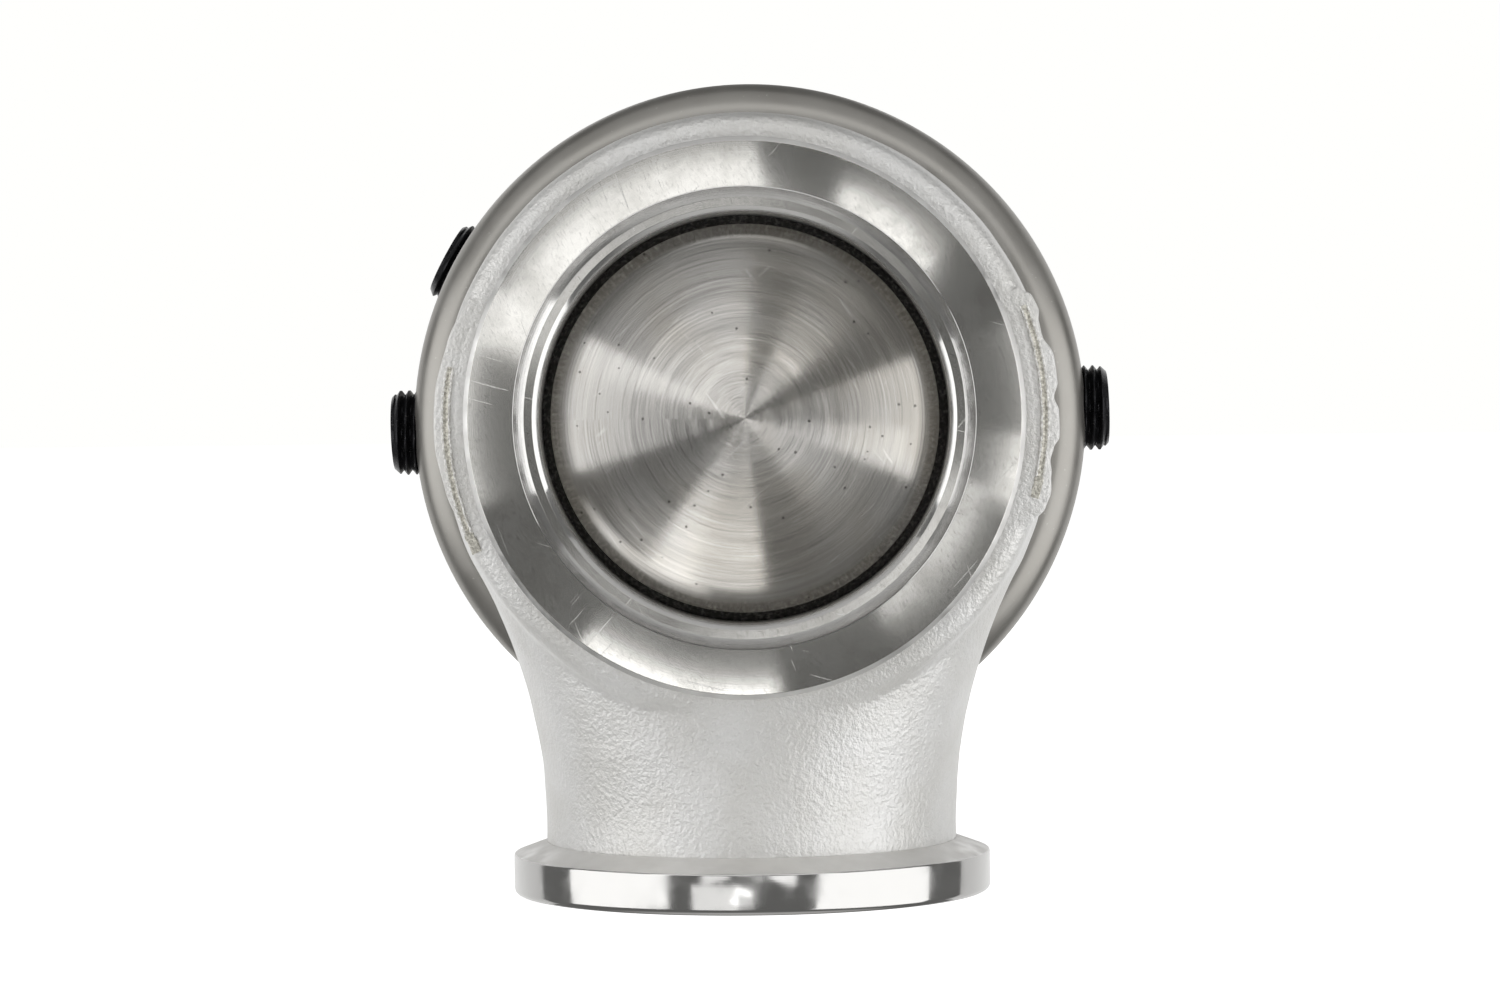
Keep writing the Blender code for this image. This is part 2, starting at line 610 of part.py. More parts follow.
def make_lock_nut(front, hole):
    """Hexagonal nut of 10 mm across flats, with its corners turned off."""
    height = 5.0 * MM
    across_flats = 10.0 * MM
    corner_radius = across_flats / math.sqrt(3.0)
    nut = on_valve_axis(hexagon("lock_nut", across_flats, front, front + height, PARTS, ZINC))
    envelope = on_valve_axis(turned("nut_envelope", [
        (0.0, front + height + 1.0 * MM),
        (corner_radius - 1.5 * MM, front + height + 1.0 * MM),
        (corner_radius + 1.0 * MM, front + height - 1.0 * MM),
        (corner_radius + 1.0 * MM, front - 1.0 * MM),
        (0.0, front - 1.0 * MM)], CUTTERS, steps=SMALL_STEPS))
    boolean(nut, envelope, "INTERSECT")
    cut(nut, on_valve_axis(rod_cutter("nut_bore", hole, front - 2.0 * MM, front + height + 2.0 * MM)))


def make_spring(name, mean_radius, wire, turns):
    """Compression spring between the upper plate and the cap.  Its end turns are nearly closed."""
    front = SPRING_FRONT + wire / 2.0
    rear = CAP_CEILING - GAP - wire / 2.0
    end_rise = wire + GAP
    points_per_turn = 12
    count = int(turns * points_per_turn)
    middle_rise = (rear - front - 2.0 * end_rise) / (turns - 2.0)
    curve = bpy.data.curves.new(name, "CURVE")
    curve.dimensions = "3D"
    curve.bevel_depth = wire / 2.0
    curve.bevel_resolution = 2
    curve.use_fill_caps = True
    spline = curve.splines.new("POLY")
    spline.points.add(count)
    for index in range(count + 1):
        turn = turns * index / count
        height = front + end_rise * min(turn, 1.0)
        height += middle_rise * min(max(turn - 1.0, 0.0), turns - 2.0)
        height += end_rise * max(turn - turns + 1.0, 0.0)
        angle = math.tau * turn
        spline.points[index].co = (mean_radius * math.cos(angle), mean_radius * math.sin(angle), height, 1.0)
    return on_valve_axis(add_object(name, curve, PARTS, SPRING_STEEL))


# ------------------------------------------------------- fasteners and plugs

def socket_screw(name, size, length, location):
    """Socket head cap screw; its own Z = 0 is under the head, and the head points to the rear."""
    radius = size / 2.0
    head_radius = size * 0.85
    screw = turned(name, [
        (0.0, size),
        (head_radius, size, 0.1 * size),
        (head_radius, 0.0),
        (radius, 0.0),
        (radius, 0.1 * size - length),
        (radius * 0.8, -length),
        (0.0, -length)], PARTS, BLACK_STEEL, steps=FASTENER_STEPS)
    socket = hexagon(f"socket_{name}", size * 0.8, size * 0.5, size * 1.5, CUTTERS)
    cut(facing_rear(screw, location), facing_rear(socket, location))


def port_plug(name, angle, distance, end_radius):
    """Headless threaded plug with a hexagonal socket, set in a radial port."""
    low = end_radius - PLUG_LENGTH
    outline = [(0.0, end_radius), (PLUG_RADIUS - PLUG_CHAMFER, end_radius),
               (PLUG_RADIUS, end_radius - PLUG_CHAMFER)]
    for ridge in range(4):
        crest = end_radius - PLUG_CHAMFER - PLUG_PITCH * ridge
        outline += [(PLUG_RADIUS, crest - 0.15 * PLUG_PITCH),
                    (PLUG_RADIUS - THREAD_DEPTH, crest - 0.5 * PLUG_PITCH),
                    (PLUG_RADIUS, crest - 0.85 * PLUG_PITCH)]
    outline += [(PLUG_RADIUS - 0.4 * MM, low), (0.0, low)]
    plug = facing_out(turned(name, outline, PARTS, BLACK_STEEL, steps=PLUG_STEPS), angle, distance)
    socket = hexagon(f"socket_{name}", PLUG_SOCKET, end_radius - 4.0 * MM, end_radius + 1.0 * MM, CUTTERS)
    cut(plug, facing_out(socket, angle, distance))


def make_fasteners():
    for number in range(4):
        place = around_valve(BASE_SCREW_CIRCLE, base_screw_angle(number), BASE_SCREW_SEAT + FIT)
        socket_screw(f"base_screw_{number + 1}", BASE_SCREW_SIZE, BASE_SCREW_LENGTH, place)
    for number in range(6):
        place = around_valve(CAP_SCREW_CIRCLE, cap_screw_angle(number), CAP_SCREW_SEAT + FIT)
        socket_screw(f"cap_screw_{number + 1}", CAP_SCREW_SIZE, CAP_SCREW_LENGTH, place)
    port_plug("port_plug_right", ACTUATOR_CLOCKING, BASE_PORT, PLUG_END_RADIUS)
    port_plug("port_plug_left", math.pi + ACTUATOR_CLOCKING, BASE_PORT, PLUG_END_RADIUS)
    port_plug("port_plug_cap", CAP_PORT_ANGLE + ACTUATOR_CLOCKING, CAP_PORT, PLUG_END_RADIUS + 0.1 * MM)


make_valve_body()
make_seat_ring()
make_stem_guide()
make_valve()
make_heat_gasket()
make_actuator_base()
make_actuator_cap()
make_stem_seal()
make_seal_retainer()
make_diaphragm()
make_plates()
make_spring("outer_spring", 20.0 * MM, 2.4 * MM, 4)
make_spring("inner_spring", 13.0 * MM, 2.0 * MM, 5)
make_fasteners()
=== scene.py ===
"""Looks of the external wastegate valve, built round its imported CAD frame.

The object stands on its outlet flange, with its valve axis along Y and its inlet facing -Y.  Turned pieces
are drawn as outlines of (radius, distance) points and spun about their own Z, which points to the rear on
the valve axis and up on the outlet axis.  Distances along the valve axis are counted from the inlet face.
"""

import json
import math

import bmesh
import bpy
from mathutils import Matrix, Vector, noise


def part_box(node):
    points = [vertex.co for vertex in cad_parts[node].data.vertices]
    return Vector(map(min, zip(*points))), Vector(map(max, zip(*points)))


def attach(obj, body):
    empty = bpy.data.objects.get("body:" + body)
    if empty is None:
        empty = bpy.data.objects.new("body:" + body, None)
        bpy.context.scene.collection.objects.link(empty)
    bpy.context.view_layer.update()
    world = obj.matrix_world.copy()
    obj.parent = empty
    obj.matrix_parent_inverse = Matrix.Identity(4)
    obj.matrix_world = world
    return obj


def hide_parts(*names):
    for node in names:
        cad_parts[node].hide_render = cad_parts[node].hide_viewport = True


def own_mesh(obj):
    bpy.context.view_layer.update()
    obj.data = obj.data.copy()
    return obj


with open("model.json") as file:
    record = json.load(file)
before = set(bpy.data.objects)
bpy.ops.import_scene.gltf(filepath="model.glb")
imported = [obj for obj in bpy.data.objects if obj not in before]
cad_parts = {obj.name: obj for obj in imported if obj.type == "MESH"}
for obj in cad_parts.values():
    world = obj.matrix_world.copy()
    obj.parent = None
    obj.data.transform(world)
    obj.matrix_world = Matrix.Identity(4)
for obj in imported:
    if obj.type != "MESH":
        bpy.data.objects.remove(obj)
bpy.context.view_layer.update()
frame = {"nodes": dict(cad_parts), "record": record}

MM = 0.001
HOUSING = "housing"
TRAIN = "valve_train"
BASE_PLUGS = ("port_plug_right", "port_plug_left")
CAP_PLUG = "port_plug_cap"
BASE_SCREWS = [f"base_screw_{number}" for number in range(1, 5)]
CAP_SCREWS = [f"cap_screw_{number}" for number in range(1, 7)]

# ------------------------------------------------------- places from the frame

MOUNTS = {mount["name"]: Vector(mount["pos_m"]) for mount in frame["record"]["mounts"]}
INLET_FACE = MOUNTS["inlet_flange_face"].y
AXIS_HEIGHT = MOUNTS["inlet_flange_face"].z
OUTLET_AXIS = MOUNTS["outlet_flange_face"].y


def reach(node):
    """Radius of a round CAD node about the valve axis."""
    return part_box(node)[1].z - AXIS_HEIGHT


def span(node):
    """Front and rear of a CAD node, as distances from the inlet face."""
    low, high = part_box(node)
    return low.y - INLET_FACE, high.y - INLET_FACE


ACTUATOR_RADIUS = reach("actuator_base")
BASE_FRONT, BASE_REAR = span("actuator_base")
CAP_FRONT, CAP_REAR = span("actuator_cap")
SEAT_RADIUS = reach("seat_ring")
SEAT_LENGTH = span("seat_ring")[1]
VALVE_RADIUS = reach("valve")
VALVE_FACE, STEM_END = span("valve")
GASKET_GAP = 0.3 * MM
BODY_REAR = span("heat_gasket")[0] - GASKET_GAP

# ------------------------------------------------- sizes of the smoothed pieces

OUTLET_FLANGE_RADIUS = 25.8 * MM
INLET_FLANGE_RADIUS = 28.45 * MM
INLET_NECK_RADIUS = 26.2 * MM
INLET_FLANGE_REAR = 9.4 * MM
NECK_RADIUS = 22.1 * MM
NECK_STRAIGHT = 7.5 * MM
OUTLET_BORE_RADIUS = 19.0 * MM
FLANGE_RIM = 4.3 * MM
DRUM_RADIUS = 33.0 * MM
DRUM_FRONT_RADIUS = 31.4 * MM
DRUM_FRONT = 10.0 * MM
CHAMBER_RADIUS = 27.5 * MM
HALVES_STEP = 32.3 * MM
HALVES_BORE = 30.5 * MM
TO_THE_REAR = (-math.pi / 2.0, 0.0, 0.0)


# ------------------------------------------------------------------- materials

class Nodes:
    """Short ways to add nodes to a node tree and to join them."""

    def __init__(self, tree):
        self.tree = tree

    def feed(self, socket, value):
        if isinstance(value, bpy.types.NodeSocket):
            self.tree.links.new(value, socket)
        else:
            socket.default_value = value

    def math(self, operation, first, second=0.0):
        node = self.tree.nodes.new("ShaderNodeMath")
        node.operation = operation
        self.feed(node.inputs[0], first)
        self.feed(node.inputs[1], second)
        return node.outputs[0]

    def ramp(self, value, low, high, start=0.0, end=1.0):
        """Maps value from low..high to start..end, and holds it at the ends."""
        node = self.tree.nodes.new("ShaderNodeMapRange")
        node.interpolation_type = "SMOOTHSTEP"
        self.feed(node.inputs["Value"], value)
        node.inputs["From Min"].default_value = low
        node.inputs["From Max"].default_value = high
        node.inputs["To Min"].default_value = start
        node.inputs["To Max"].default_value = end
        return node.outputs["Result"]

    def apart(self, vector):
        """The three parts of a vector."""
        node = self.tree.nodes.new("ShaderNodeSeparateXYZ")
        self.feed(node.inputs[0], vector)
        return node.outputs

    def vector(self, x, y, z=0.0):
        node = self.tree.nodes.new("ShaderNodeCombineXYZ")
        for socket, value in zip(node.inputs, (x, y, z)):
            self.feed(socket, value)
        return node.outputs[0]

    def unit(self, vector):
        node = self.tree.nodes.new("ShaderNodeVectorMath")
        node.operation = "NORMALIZE"
        self.feed(node.inputs[0], vector)
        return node.outputs[0]


class Finish(Nodes):
    """A Principled material.  Its patterns run in the object's own coordinates."""

    def __init__(self, name, colour, roughness, metallic=1.0):
        self.material = bpy.data.materials.new(name)
        self.material.use_nodes = True
        super().__init__(self.material.node_tree)
        self.shader = self.tree.nodes["Principled BSDF"]
        self.shader.inputs["Base Color"].default_value = (*colour, 1.0)
        self.shader.inputs["Roughness"].default_value = roughness
        self.shader.inputs["Metallic"].default_value = metallic
        self.coordinates = self.tree.nodes.new("ShaderNodeTexCoord").outputs["Object"]
        self.normal = None

    def set(self, name, value):
        self.feed(self.shader.inputs[name], value)

    def noise(self, size, vector=None, detail=2.0, roughness=0.5):
        """Cloudy noise whose features are about this size, in metres."""
        node = self.tree.nodes.new("ShaderNodeTexNoise")
        self.feed(node.inputs["Vector"], vector or self.coordinates)
        node.inputs["Scale"].default_value = 1.0 / size
        node.inputs["Detail"].default_value = detail
        node.inputs["Roughness"].default_value = roughness
        return node.outputs["Fac"]

    def ring_noise(self, size, detail=2.0, roughness=0.5):
        """Noise that only changes with radius and height, so it forms rings round the object's own Z."""
        radius, angle, height = self.polar()
        return self.noise(size, self.vector(radius, height), detail, roughness)

    def arc_noise(self, size, follow, detail, roughness):
        """Ring noise that also changes round the ring, by follow metres of pattern per radian."""
        radius, angle, height = self.polar()
        return self.noise(size, self.vector(radius, self.math("MULTIPLY", angle, follow)), detail, roughness)

    def cells(self, size):
        """Distance to the nearest of scattered points about this far apart, in cells."""
        node = self.tree.nodes.new("ShaderNodeTexVoronoi")
        self.feed(node.inputs["Vector"], self.coordinates)
        node.inputs["Scale"].default_value = 1.0 / size
        return node.outputs["Distance"]

    def stretched(self, scale, turn):
        """Coordinates turned round Z first, then scaled, so that a pattern runs in the turned direction."""
        turned = self.tree.nodes.new("ShaderNodeVectorRotate")
        turned.rotation_type = "Z_AXIS"
        turned.inputs["Angle"].default_value = turn
        self.feed(turned.inputs["Vector"], self.coordinates)
        scaled = self.tree.nodes.new("ShaderNodeVectorMath")
        scaled.operation = "MULTIPLY"
        self.feed(scaled.inputs[0], turned.outputs[0])
        self.feed(scaled.inputs[1], scale)
        return scaled.outputs[0]

    def scratches(self, size, turns):
        """Thin straight marks in a few directions, 0 to 1."""
        total = None
        for turn in turns:
            streak = self.noise(size, self.stretched((1.0, 0.03, 1.0), turn), detail=0.0)
            line = self.ramp(streak, 0.80, 0.83)
            total = line if total is None else self.math("MAXIMUM", total, line)
        return total

    def polar(self):
        """Radius, angle and height about the object's own Z, as three outputs."""
        across, up, along = self.apart(self.coordinates)
        square = self.math("ADD", self.math("MULTIPLY", across, across), self.math("MULTIPLY", up, up))
        return self.math("SQRT", square), self.math("ARCTAN2", up, across), along

    def colour_mix(self, factor, first, second):
        node = self.tree.nodes.new("ShaderNodeMix")
        node.data_type = "RGBA"
        self.feed(node.inputs["Factor"], factor)
        for socket, value in ((node.inputs[6], first), (node.inputs[7], second)):
            self.feed(socket, value if isinstance(value, bpy.types.NodeSocket) else (*value, 1.0))
        return node.outputs[2]

    def two_tone(self, pattern, low, high, first, second):
        """Colours the surface first where the pattern is under low, and second where it is over high."""
        self.set("Base Color", self.colour_mix(self.ramp(pattern, low, high), first, second))

    def use_normal(self, normal):
        self.normal = normal
        self.set("Normal", normal)

    def bump(self, height, depth):
        """Adds relief of this depth, in metres, on top of the relief so far."""
        node = self.tree.nodes.new("ShaderNodeBump")
        node.inputs["Strength"].default_value = 1.0
        node.inputs["Distance"].default_value = depth
        self.feed(node.inputs["Height"], height)
        if self.normal:
            self.feed(node.inputs["Normal"], self.normal)
        self.use_normal(node.outputs["Normal"])

    def radial_tilt(self, wave, slope):
        """Tilts the surface in and out along its radius, as round tool marks do, by up to this slope."""
        across, up, along = self.apart(self.coordinates)
        amount = self.math("MULTIPLY", self.math("SUBTRACT", wave, 0.5), 2.0 * slope)
        scaled = self.tree.nodes.new("ShaderNodeVectorMath")
        scaled.operation = "SCALE"
        self.feed(scaled.inputs[0], self.unit(self.vector(across, up)))
        self.feed(scaled.inputs["Scale"], amount)
        turned = self.tree.nodes.new("ShaderNodeVectorTransform")
        turned.vector_type = "VECTOR"
        turned.convert_from = "OBJECT"
        turned.convert_to = "WORLD"
        self.feed(turned.inputs[0], scaled.outputs[0])
        before = self.normal or self.tree.nodes.new("ShaderNodeNewGeometry").outputs["Normal"]
        total = self.tree.nodes.new("ShaderNodeVectorMath")
        self.feed(total.inputs[0], before)
        self.feed(total.inputs[1], turned.outputs[0])
        self.use_normal(self.unit(total.outputs[0]))

    def turned_grain(self):
        """Stretches highlights across tool marks that run round the object's own Z."""
        tangent = self.tree.nodes.new("ShaderNodeTangent")
        tangent.direction_type = "RADIAL"
        tangent.axis = "Z"
        self.set("Anisotropic", 1.0)
        self.set("Anisotropic Rotation", 0.25)
        self.set("Tangent", tangent.outputs[0])


def cast_steel():
    """Bead-blasted stainless casting: orange peel, fine grain and cloudy tone."""
    finish = Finish("cast_steel", (0.72, 0.713, 0.695), 0.46, 0.72)
    grain = finish.noise(0.16 * MM)
    cloud = finish.noise(9 * MM, detail=3.0)
    finish.two_tone(cloud, 0.3, 0.7, (0.684, 0.6768, 0.6552), (0.756, 0.7524, 0.7416))
    finish.set("Roughness", finish.ramp(grain, 0.25, 0.75, 0.42, 0.54))
    finish.bump(finish.noise(0.50 * MM, roughness=0.60), 0.17 * MM)
    finish.bump(grain, 0.010 * MM)
    return finish.material


def torn_edge():
    """Bright ragged borders of the ground-off gates."""
    finish = Finish("torn_edge", (0.92, 0.91, 0.88), 0.32, 0.75)
    grain = finish.noise(0.35 * MM, detail=3.0)
    finish.two_tone(grain, 0.42, 0.6, (0.62, 0.61, 0.58), (0.97, 0.96, 0.94))
    finish.bump(grain, 0.05 * MM)
    return finish.material


def granular_top():
    """Coarse broken grain, a little yellower than the casting."""
    finish = Finish("granular_top", (0.62, 0.60, 0.53), 0.5, 0.7)
    grain = finish.noise(0.28 * MM, detail=3.0, roughness=0.7)
    finish.two_tone(grain, 0.35, 0.65, (0.36, 0.345, 0.30), (0.80, 0.78, 0.71))
    finish.bump(grain, 0.09 * MM)
    return finish.material


def machined_face():
    """Flange face: fine turning marks, lapping haze and handling scratches."""
    finish = Finish("machined_face", (0.62, 0.61, 0.585), 0.21)
    haze = finish.noise(5 * MM, detail=4.0, roughness=0.6)
    marks = finish.scratches(0.30 * MM, (0.35, 1.3, 2.4))
    brushed = finish.noise(0.22 * MM, finish.stretched((1.0, 0.25, 1.0), 0.5), detail=3.0, roughness=0.75)
    base = finish.colour_mix(finish.ramp(haze, 0.35, 0.7), (0.68, 0.67, 0.64), (0.56, 0.55, 0.52))
    base = finish.colour_mix(finish.ramp(brushed, 0.53, 0.68, 0.0, 0.40), base, (0.34, 0.33, 0.31))
    base = finish.colour_mix(finish.math("MULTIPLY", marks, 0.3), base, (0.88, 0.87, 0.85))
    finish.set("Base Color", base)
    finish.set("Roughness", finish.math("ADD", finish.ramp(haze, 0.3, 0.7, 0.075, 0.095),
                                        finish.math("MULTIPLY", marks, 0.05)))
    finish.turned_grain()
    finish.radial_tilt(finish.ring_noise(0.10 * MM, 3.0, 0.7), 0.016)
    finish.bump(marks, 0.0015 * MM)
    return finish.material


def polished(name, tone, roughness):
    """Finely turned edge faces and rims that mirror the lights."""
    finish = Finish(name, (tone, tone * 0.99, tone * 0.97), roughness)
    smear = finish.noise(2.2 * MM, detail=3.0)
    finish.set("Roughness", finish.ramp(smear, 0.3, 0.7, roughness * 0.75, roughness * 1.5))
    finish.bump(finish.ring_noise(0.16 * MM), 0.0012 * MM)
    finish.bump(smear, 0.003 * MM)
    return finish.material


def valve_face_finish():
    """Turned valve face: round tool marks, brighter arcs, heat tint and specks."""
    finish = Finish("valve_face", (0.58, 0.565, 0.54), 0.30)
    bands = finish.arc_noise(1.5 * MM, 0.7 * MM, 4.0, 0.65)
    rings = finish.arc_noise(0.20 * MM, 0.25 * MM, 2.0, 0.7)
    tint = finish.ramp(finish.noise(11 * MM), 0.35, 0.7)
    specks = finish.ramp(finish.cells(1.9 * MM), 0.06, 0.09, 1.0, 0.0)
    marks = finish.scratches(0.22 * MM, (0.6, 2.3))
    base = finish.colour_mix(tint, (0.60, 0.585, 0.56), (0.55, 0.525, 0.48))
    base = finish.colour_mix(finish.ramp(rings, 0.54, 0.70, 0.0, 0.40), base, (0.30, 0.29, 0.27))
    base = finish.colour_mix(finish.ramp(rings, 0.30, 0.44, 0.35, 0.0), base, (0.80, 0.79, 0.76))
    base = finish.colour_mix(finish.math("MULTIPLY", specks, 0.7), base, (0.12, 0.11, 0.10))
    base = finish.colour_mix(finish.math("MULTIPLY", marks, 0.25), base, (0.90, 0.89, 0.87))
    finish.set("Base Color", base)
    finish.set("Roughness", finish.ramp(bands, 0.3, 0.7, 0.11, 0.155))
    finish.turned_grain()
    finish.radial_tilt(finish.ring_noise(0.13 * MM, 3.0, 0.75), 0.05)
    finish.radial_tilt(bands, 0.035)
    return finish.material


def dark_gap():
    """Rough steel down between valve and seat, its colour darkened as painted shade for the recess there."""
    # Painted shade: this dark base colour stands in for the shade down in the recess between valve and seat.
    finish = Finish("seat_gap", (0.30, 0.29, 0.27), 0.5, 0.6)
    rough_texture = finish.noise(0.40 * MM, detail=4.0, roughness=0.7)
    finish.two_tone(rough_texture, 0.45, 0.7, (0.16, 0.155, 0.145), (0.46, 0.45, 0.42))
    finish.bump(rough_texture, 0.16 * MM)
    return finish.material


def anodised():
    """Satin grey-brown anodised aluminium with faint turning lines and rubbed specks."""
    finish = Finish("anodised_grey", (0.35, 0.338, 0.315), 0.31, 0.92)
    cloud = finish.noise(6 * MM, detail=3.0)
    rubbed = finish.ramp(finish.noise(0.45 * MM, detail=3.0), 0.71, 0.75)
    base = finish.colour_mix(finish.ramp(cloud, 0.3, 0.7), (0.335, 0.323, 0.30), (0.375, 0.363, 0.34))
    base = finish.colour_mix(finish.math("MULTIPLY", rubbed, 0.5), base, (0.68, 0.67, 0.65))
    finish.set("Base Color", base)
    finish.set("Roughness", finish.ramp(cloud, 0.3, 0.7, 0.31, 0.38))
    finish.bump(finish.ring_noise(0.22 * MM), 0.0015 * MM)
    finish.bump(finish.noise(0.12 * MM), 0.002 * MM)
    return finish.material


def black_oxide():
    """Oiled black oxide on steel, with bright specks where it has rubbed through."""
    finish = Finish("black_oxide", (0.020, 0.020, 0.022), 0.30, 0.9)
    worn = finish.ramp(finish.noise(0.28 * MM, detail=4.0, roughness=0.7), 0.60, 0.70)
    oil = finish.noise(1.5 * MM, detail=3.0)
    finish.set("Base Color", finish.colour_mix(finish.math("MULTIPLY", worn, 0.5), (0.018, 0.018, 0.020),
                                               (0.34, 0.33, 0.32)))
    finish.set("Roughness", finish.ramp(oil, 0.3, 0.7, 0.20, 0.42))
    finish.bump(finish.noise(0.20 * MM, detail=3.0), 0.012 * MM)
    return finish.material


def plain_turned(name, colour, roughness, metallic=1.0, line=0.25 * MM):
    """Small turned or pressed inner pieces: tool lines and a cloudy tone."""
    finish = Finish(name, colour, roughness, metallic)
    cloud = finish.noise(2.5 * MM, detail=3.0)
    finish.two_tone(cloud, 0.3, 0.7, tuple(channel * 0.82 for channel in colour), colour)
    finish.set("Roughness", finish.ramp(cloud, 0.3, 0.7, roughness * 0.85, min(1.0, roughness * 1.2)))
    finish.bump(finish.noise(line), 0.004 * MM)
    return finish.material


CAST = cast_steel()
TORN = torn_edge()
GRANULAR = granular_top()
FACE = machined_face()
POLISHED = polished("polished", 0.68, 0.085)
SATIN = polished("satin_edge", 0.82, 0.42)
RIM = polished("rim_mirror", 0.60, 0.11)
VALVE_TURNED = valve_face_finish()
# Dark material for the gap between valve and seat: painted shade for that recess.
PAINTED_GAP_SHADE = dark_gap()
ANODISED = anodised()
BLACK = black_oxide()
BRONZE = plain_turned("guide_bronze", (0.55, 0.38, 0.20), 0.34)
FIBRE = plain_turned("gasket_fibre", (0.24, 0.23, 0.22), 0.8, 0.2, 0.4 * MM)
SILICONE = plain_turned("diaphragm_silicone", (0.16, 0.05, 0.03), 0.6, 0.0, 0.5 * MM)
RUBBER = plain_turned("seal_rubber", (0.03, 0.03, 0.03), 0.5, 0.0, 0.4 * MM)
PLATE = plain_turned("plate_aluminium", (0.68, 0.68, 0.67), 0.32)
ZINC = plain_turned("zinc_plate", (0.60, 0.59, 0.54), 0.30)
SPRING = plain_turned("spring_wire", (0.28, 0.28, 0.29), 0.32)


# ----------------------------------------------------------------- mesh helpers

def rounded(points, segments):
    """Outline points; one with a third value has its corner replaced by an arc of that radius."""
    outline = []
    for index, point in enumerate(points):
        if len(point) == 2:
            outline.append(Vector(point))
            continue
        corner = Vector(point[:2])
        before = (Vector(points[index - 1][:2]) - corner).normalized()
        after = (Vector(points[(index + 1) % len(points)][:2]) - corner).normalized()
        half_angle = before.angle(after) / 2.0
        centre = corner + (before + after).normalized() * point[2] / math.sin(half_angle)
        start = corner + before * point[2] / math.tan(half_angle) - centre
        sweep = math.pi - 2.0 * half_angle
        turn = math.copysign(sweep, start.x * (corner - centre).y - start.y * (corner - centre).x)
        for step in range(segments + 1):
            angle = turn * step / segments
            outline.append(centre + Vector((
                start.x * math.cos(angle) - start.y * math.sin(angle),
                start.x * math.sin(angle) + start.y * math.cos(angle))))
    return outline


def made_mesh(shape, name):
    mesh = bpy.data.meshes.new(name)
    shape.to_mesh(mesh)
    shape.free()
    return mesh


def new_object(name, data, *materials):
    thing = bpy.data.objects.new(name, data)
    bpy.context.scene.collection.objects.link(thing)
    for material in materials:
        data.materials.append(material)
    return thing


def smooth(mesh, angle=32.0):
    mesh.shade_smooth()
    mesh.set_sharp_from_angle(angle=math.radians(angle))


def spun(name, points, materials, paint=None, ring=False, steps=192, segments=5):
    """A turned piece about its own Z.  paint gives the material number from a face's radius and height."""
    outline = rounded(points, segments)
    shape = bmesh.new()
    loops = []
    for point in outline:
        if point.x < 1e-7:
            loops.append([shape.verts.new((0.0, 0.0, point.y))])
            continue
        loops.append([shape.verts.new((point.x * math.cos(math.tau * step / steps),
                                       point.x * math.sin(math.tau * step / steps), point.y))
                      for step in range(steps)])
    pairs = list(zip(loops, loops[1:]))
    middles = [(first + second) / 2.0 for first, second in zip(outline, outline[1:])]
    if ring:
        pairs.append((loops[-1], loops[0]))
        middles.append((outline[-1] + outline[0]) / 2.0)
    for (upper, lower), middle in zip(pairs, middles):
        number = paint(middle.x, middle.y) if paint else 0
        for step in range(steps):
            after = (step + 1) % steps
            corners = [upper[step % len(upper)], lower[step % len(lower)]]
            if len(lower) > 1:
                corners.append(lower[after])
            if len(upper) > 1:
                corners.append(upper[after])
            face = shape.faces.new(corners)
            face.material_index = number
    bmesh.ops.recalc_face_normals(shape, faces=shape.faces)
    mesh = made_mesh(shape, name)
    thing = new_object(name, mesh, *materials)
    smooth(mesh)
    return thing


def loft(shape, rings):
    """Joins closed rings of vertices into a skin, and closes it at both ends."""
    for before, after in zip(rings, rings[1:]):
        for corner in range(len(before)):
            following = (corner + 1) % len(before)
            shape.faces.new((before[corner], before[following], after[following], after[corner]))
    shape.faces.new(list(reversed(rings[0])))
    shape.faces.new(rings[-1])


def section(shape, outline, degrees, front):
    """Vertices of an outline of (radius, depth behind front) points, at an angle round the valve axis."""
    angle = math.radians(degrees)
    return [shape.verts.new((radius * math.cos(angle), front + depth, AXIS_HEIGHT + radius * math.sin(angle)))
            for radius, depth in outline]


def on_valve_axis(thing):
    thing.location = (0.0, INLET_FACE, AXIS_HEIGHT)
    thing.rotation_euler = TO_THE_REAR
    return thing


def at_outlet(thing):
    thing.location = (0.0, OUTLET_AXIS, 0.0)
    return thing


def evaluated_mesh(thing):
    """Mesh of a piece with its modifiers applied, or of a curve with its thickness."""
    bpy.context.view_layer.update()
    evaluated = thing.evaluated_get(bpy.context.evaluated_depsgraph_get())
    return bpy.data.meshes.new_from_object(evaluated)


def settle(thing):
    """Applies a piece's modifiers, and drops the ones it has."""
    mesh = evaluated_mesh(thing)
    thing.modifiers.clear()
    thing.data = mesh


def subtract(thing, *tools):
    for tool in tools:
        modifier = thing.modifiers.new(tool.name, "BOOLEAN")
        modifier.operation = "DIFFERENCE"
        modifier.solver = "EXACT"
        modifier.object = tool
    settle(thing)
    for tool in tools:
        bpy.data.objects.remove(tool, do_unlink=True)


def keep(thing, body, material_slot, *nodes):
    """Lets a piece ride on its body in place of these CAD nodes."""
    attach(thing, body)
    if nodes:
        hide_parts(*nodes)


# -------------------------------------------------------------------- cast body

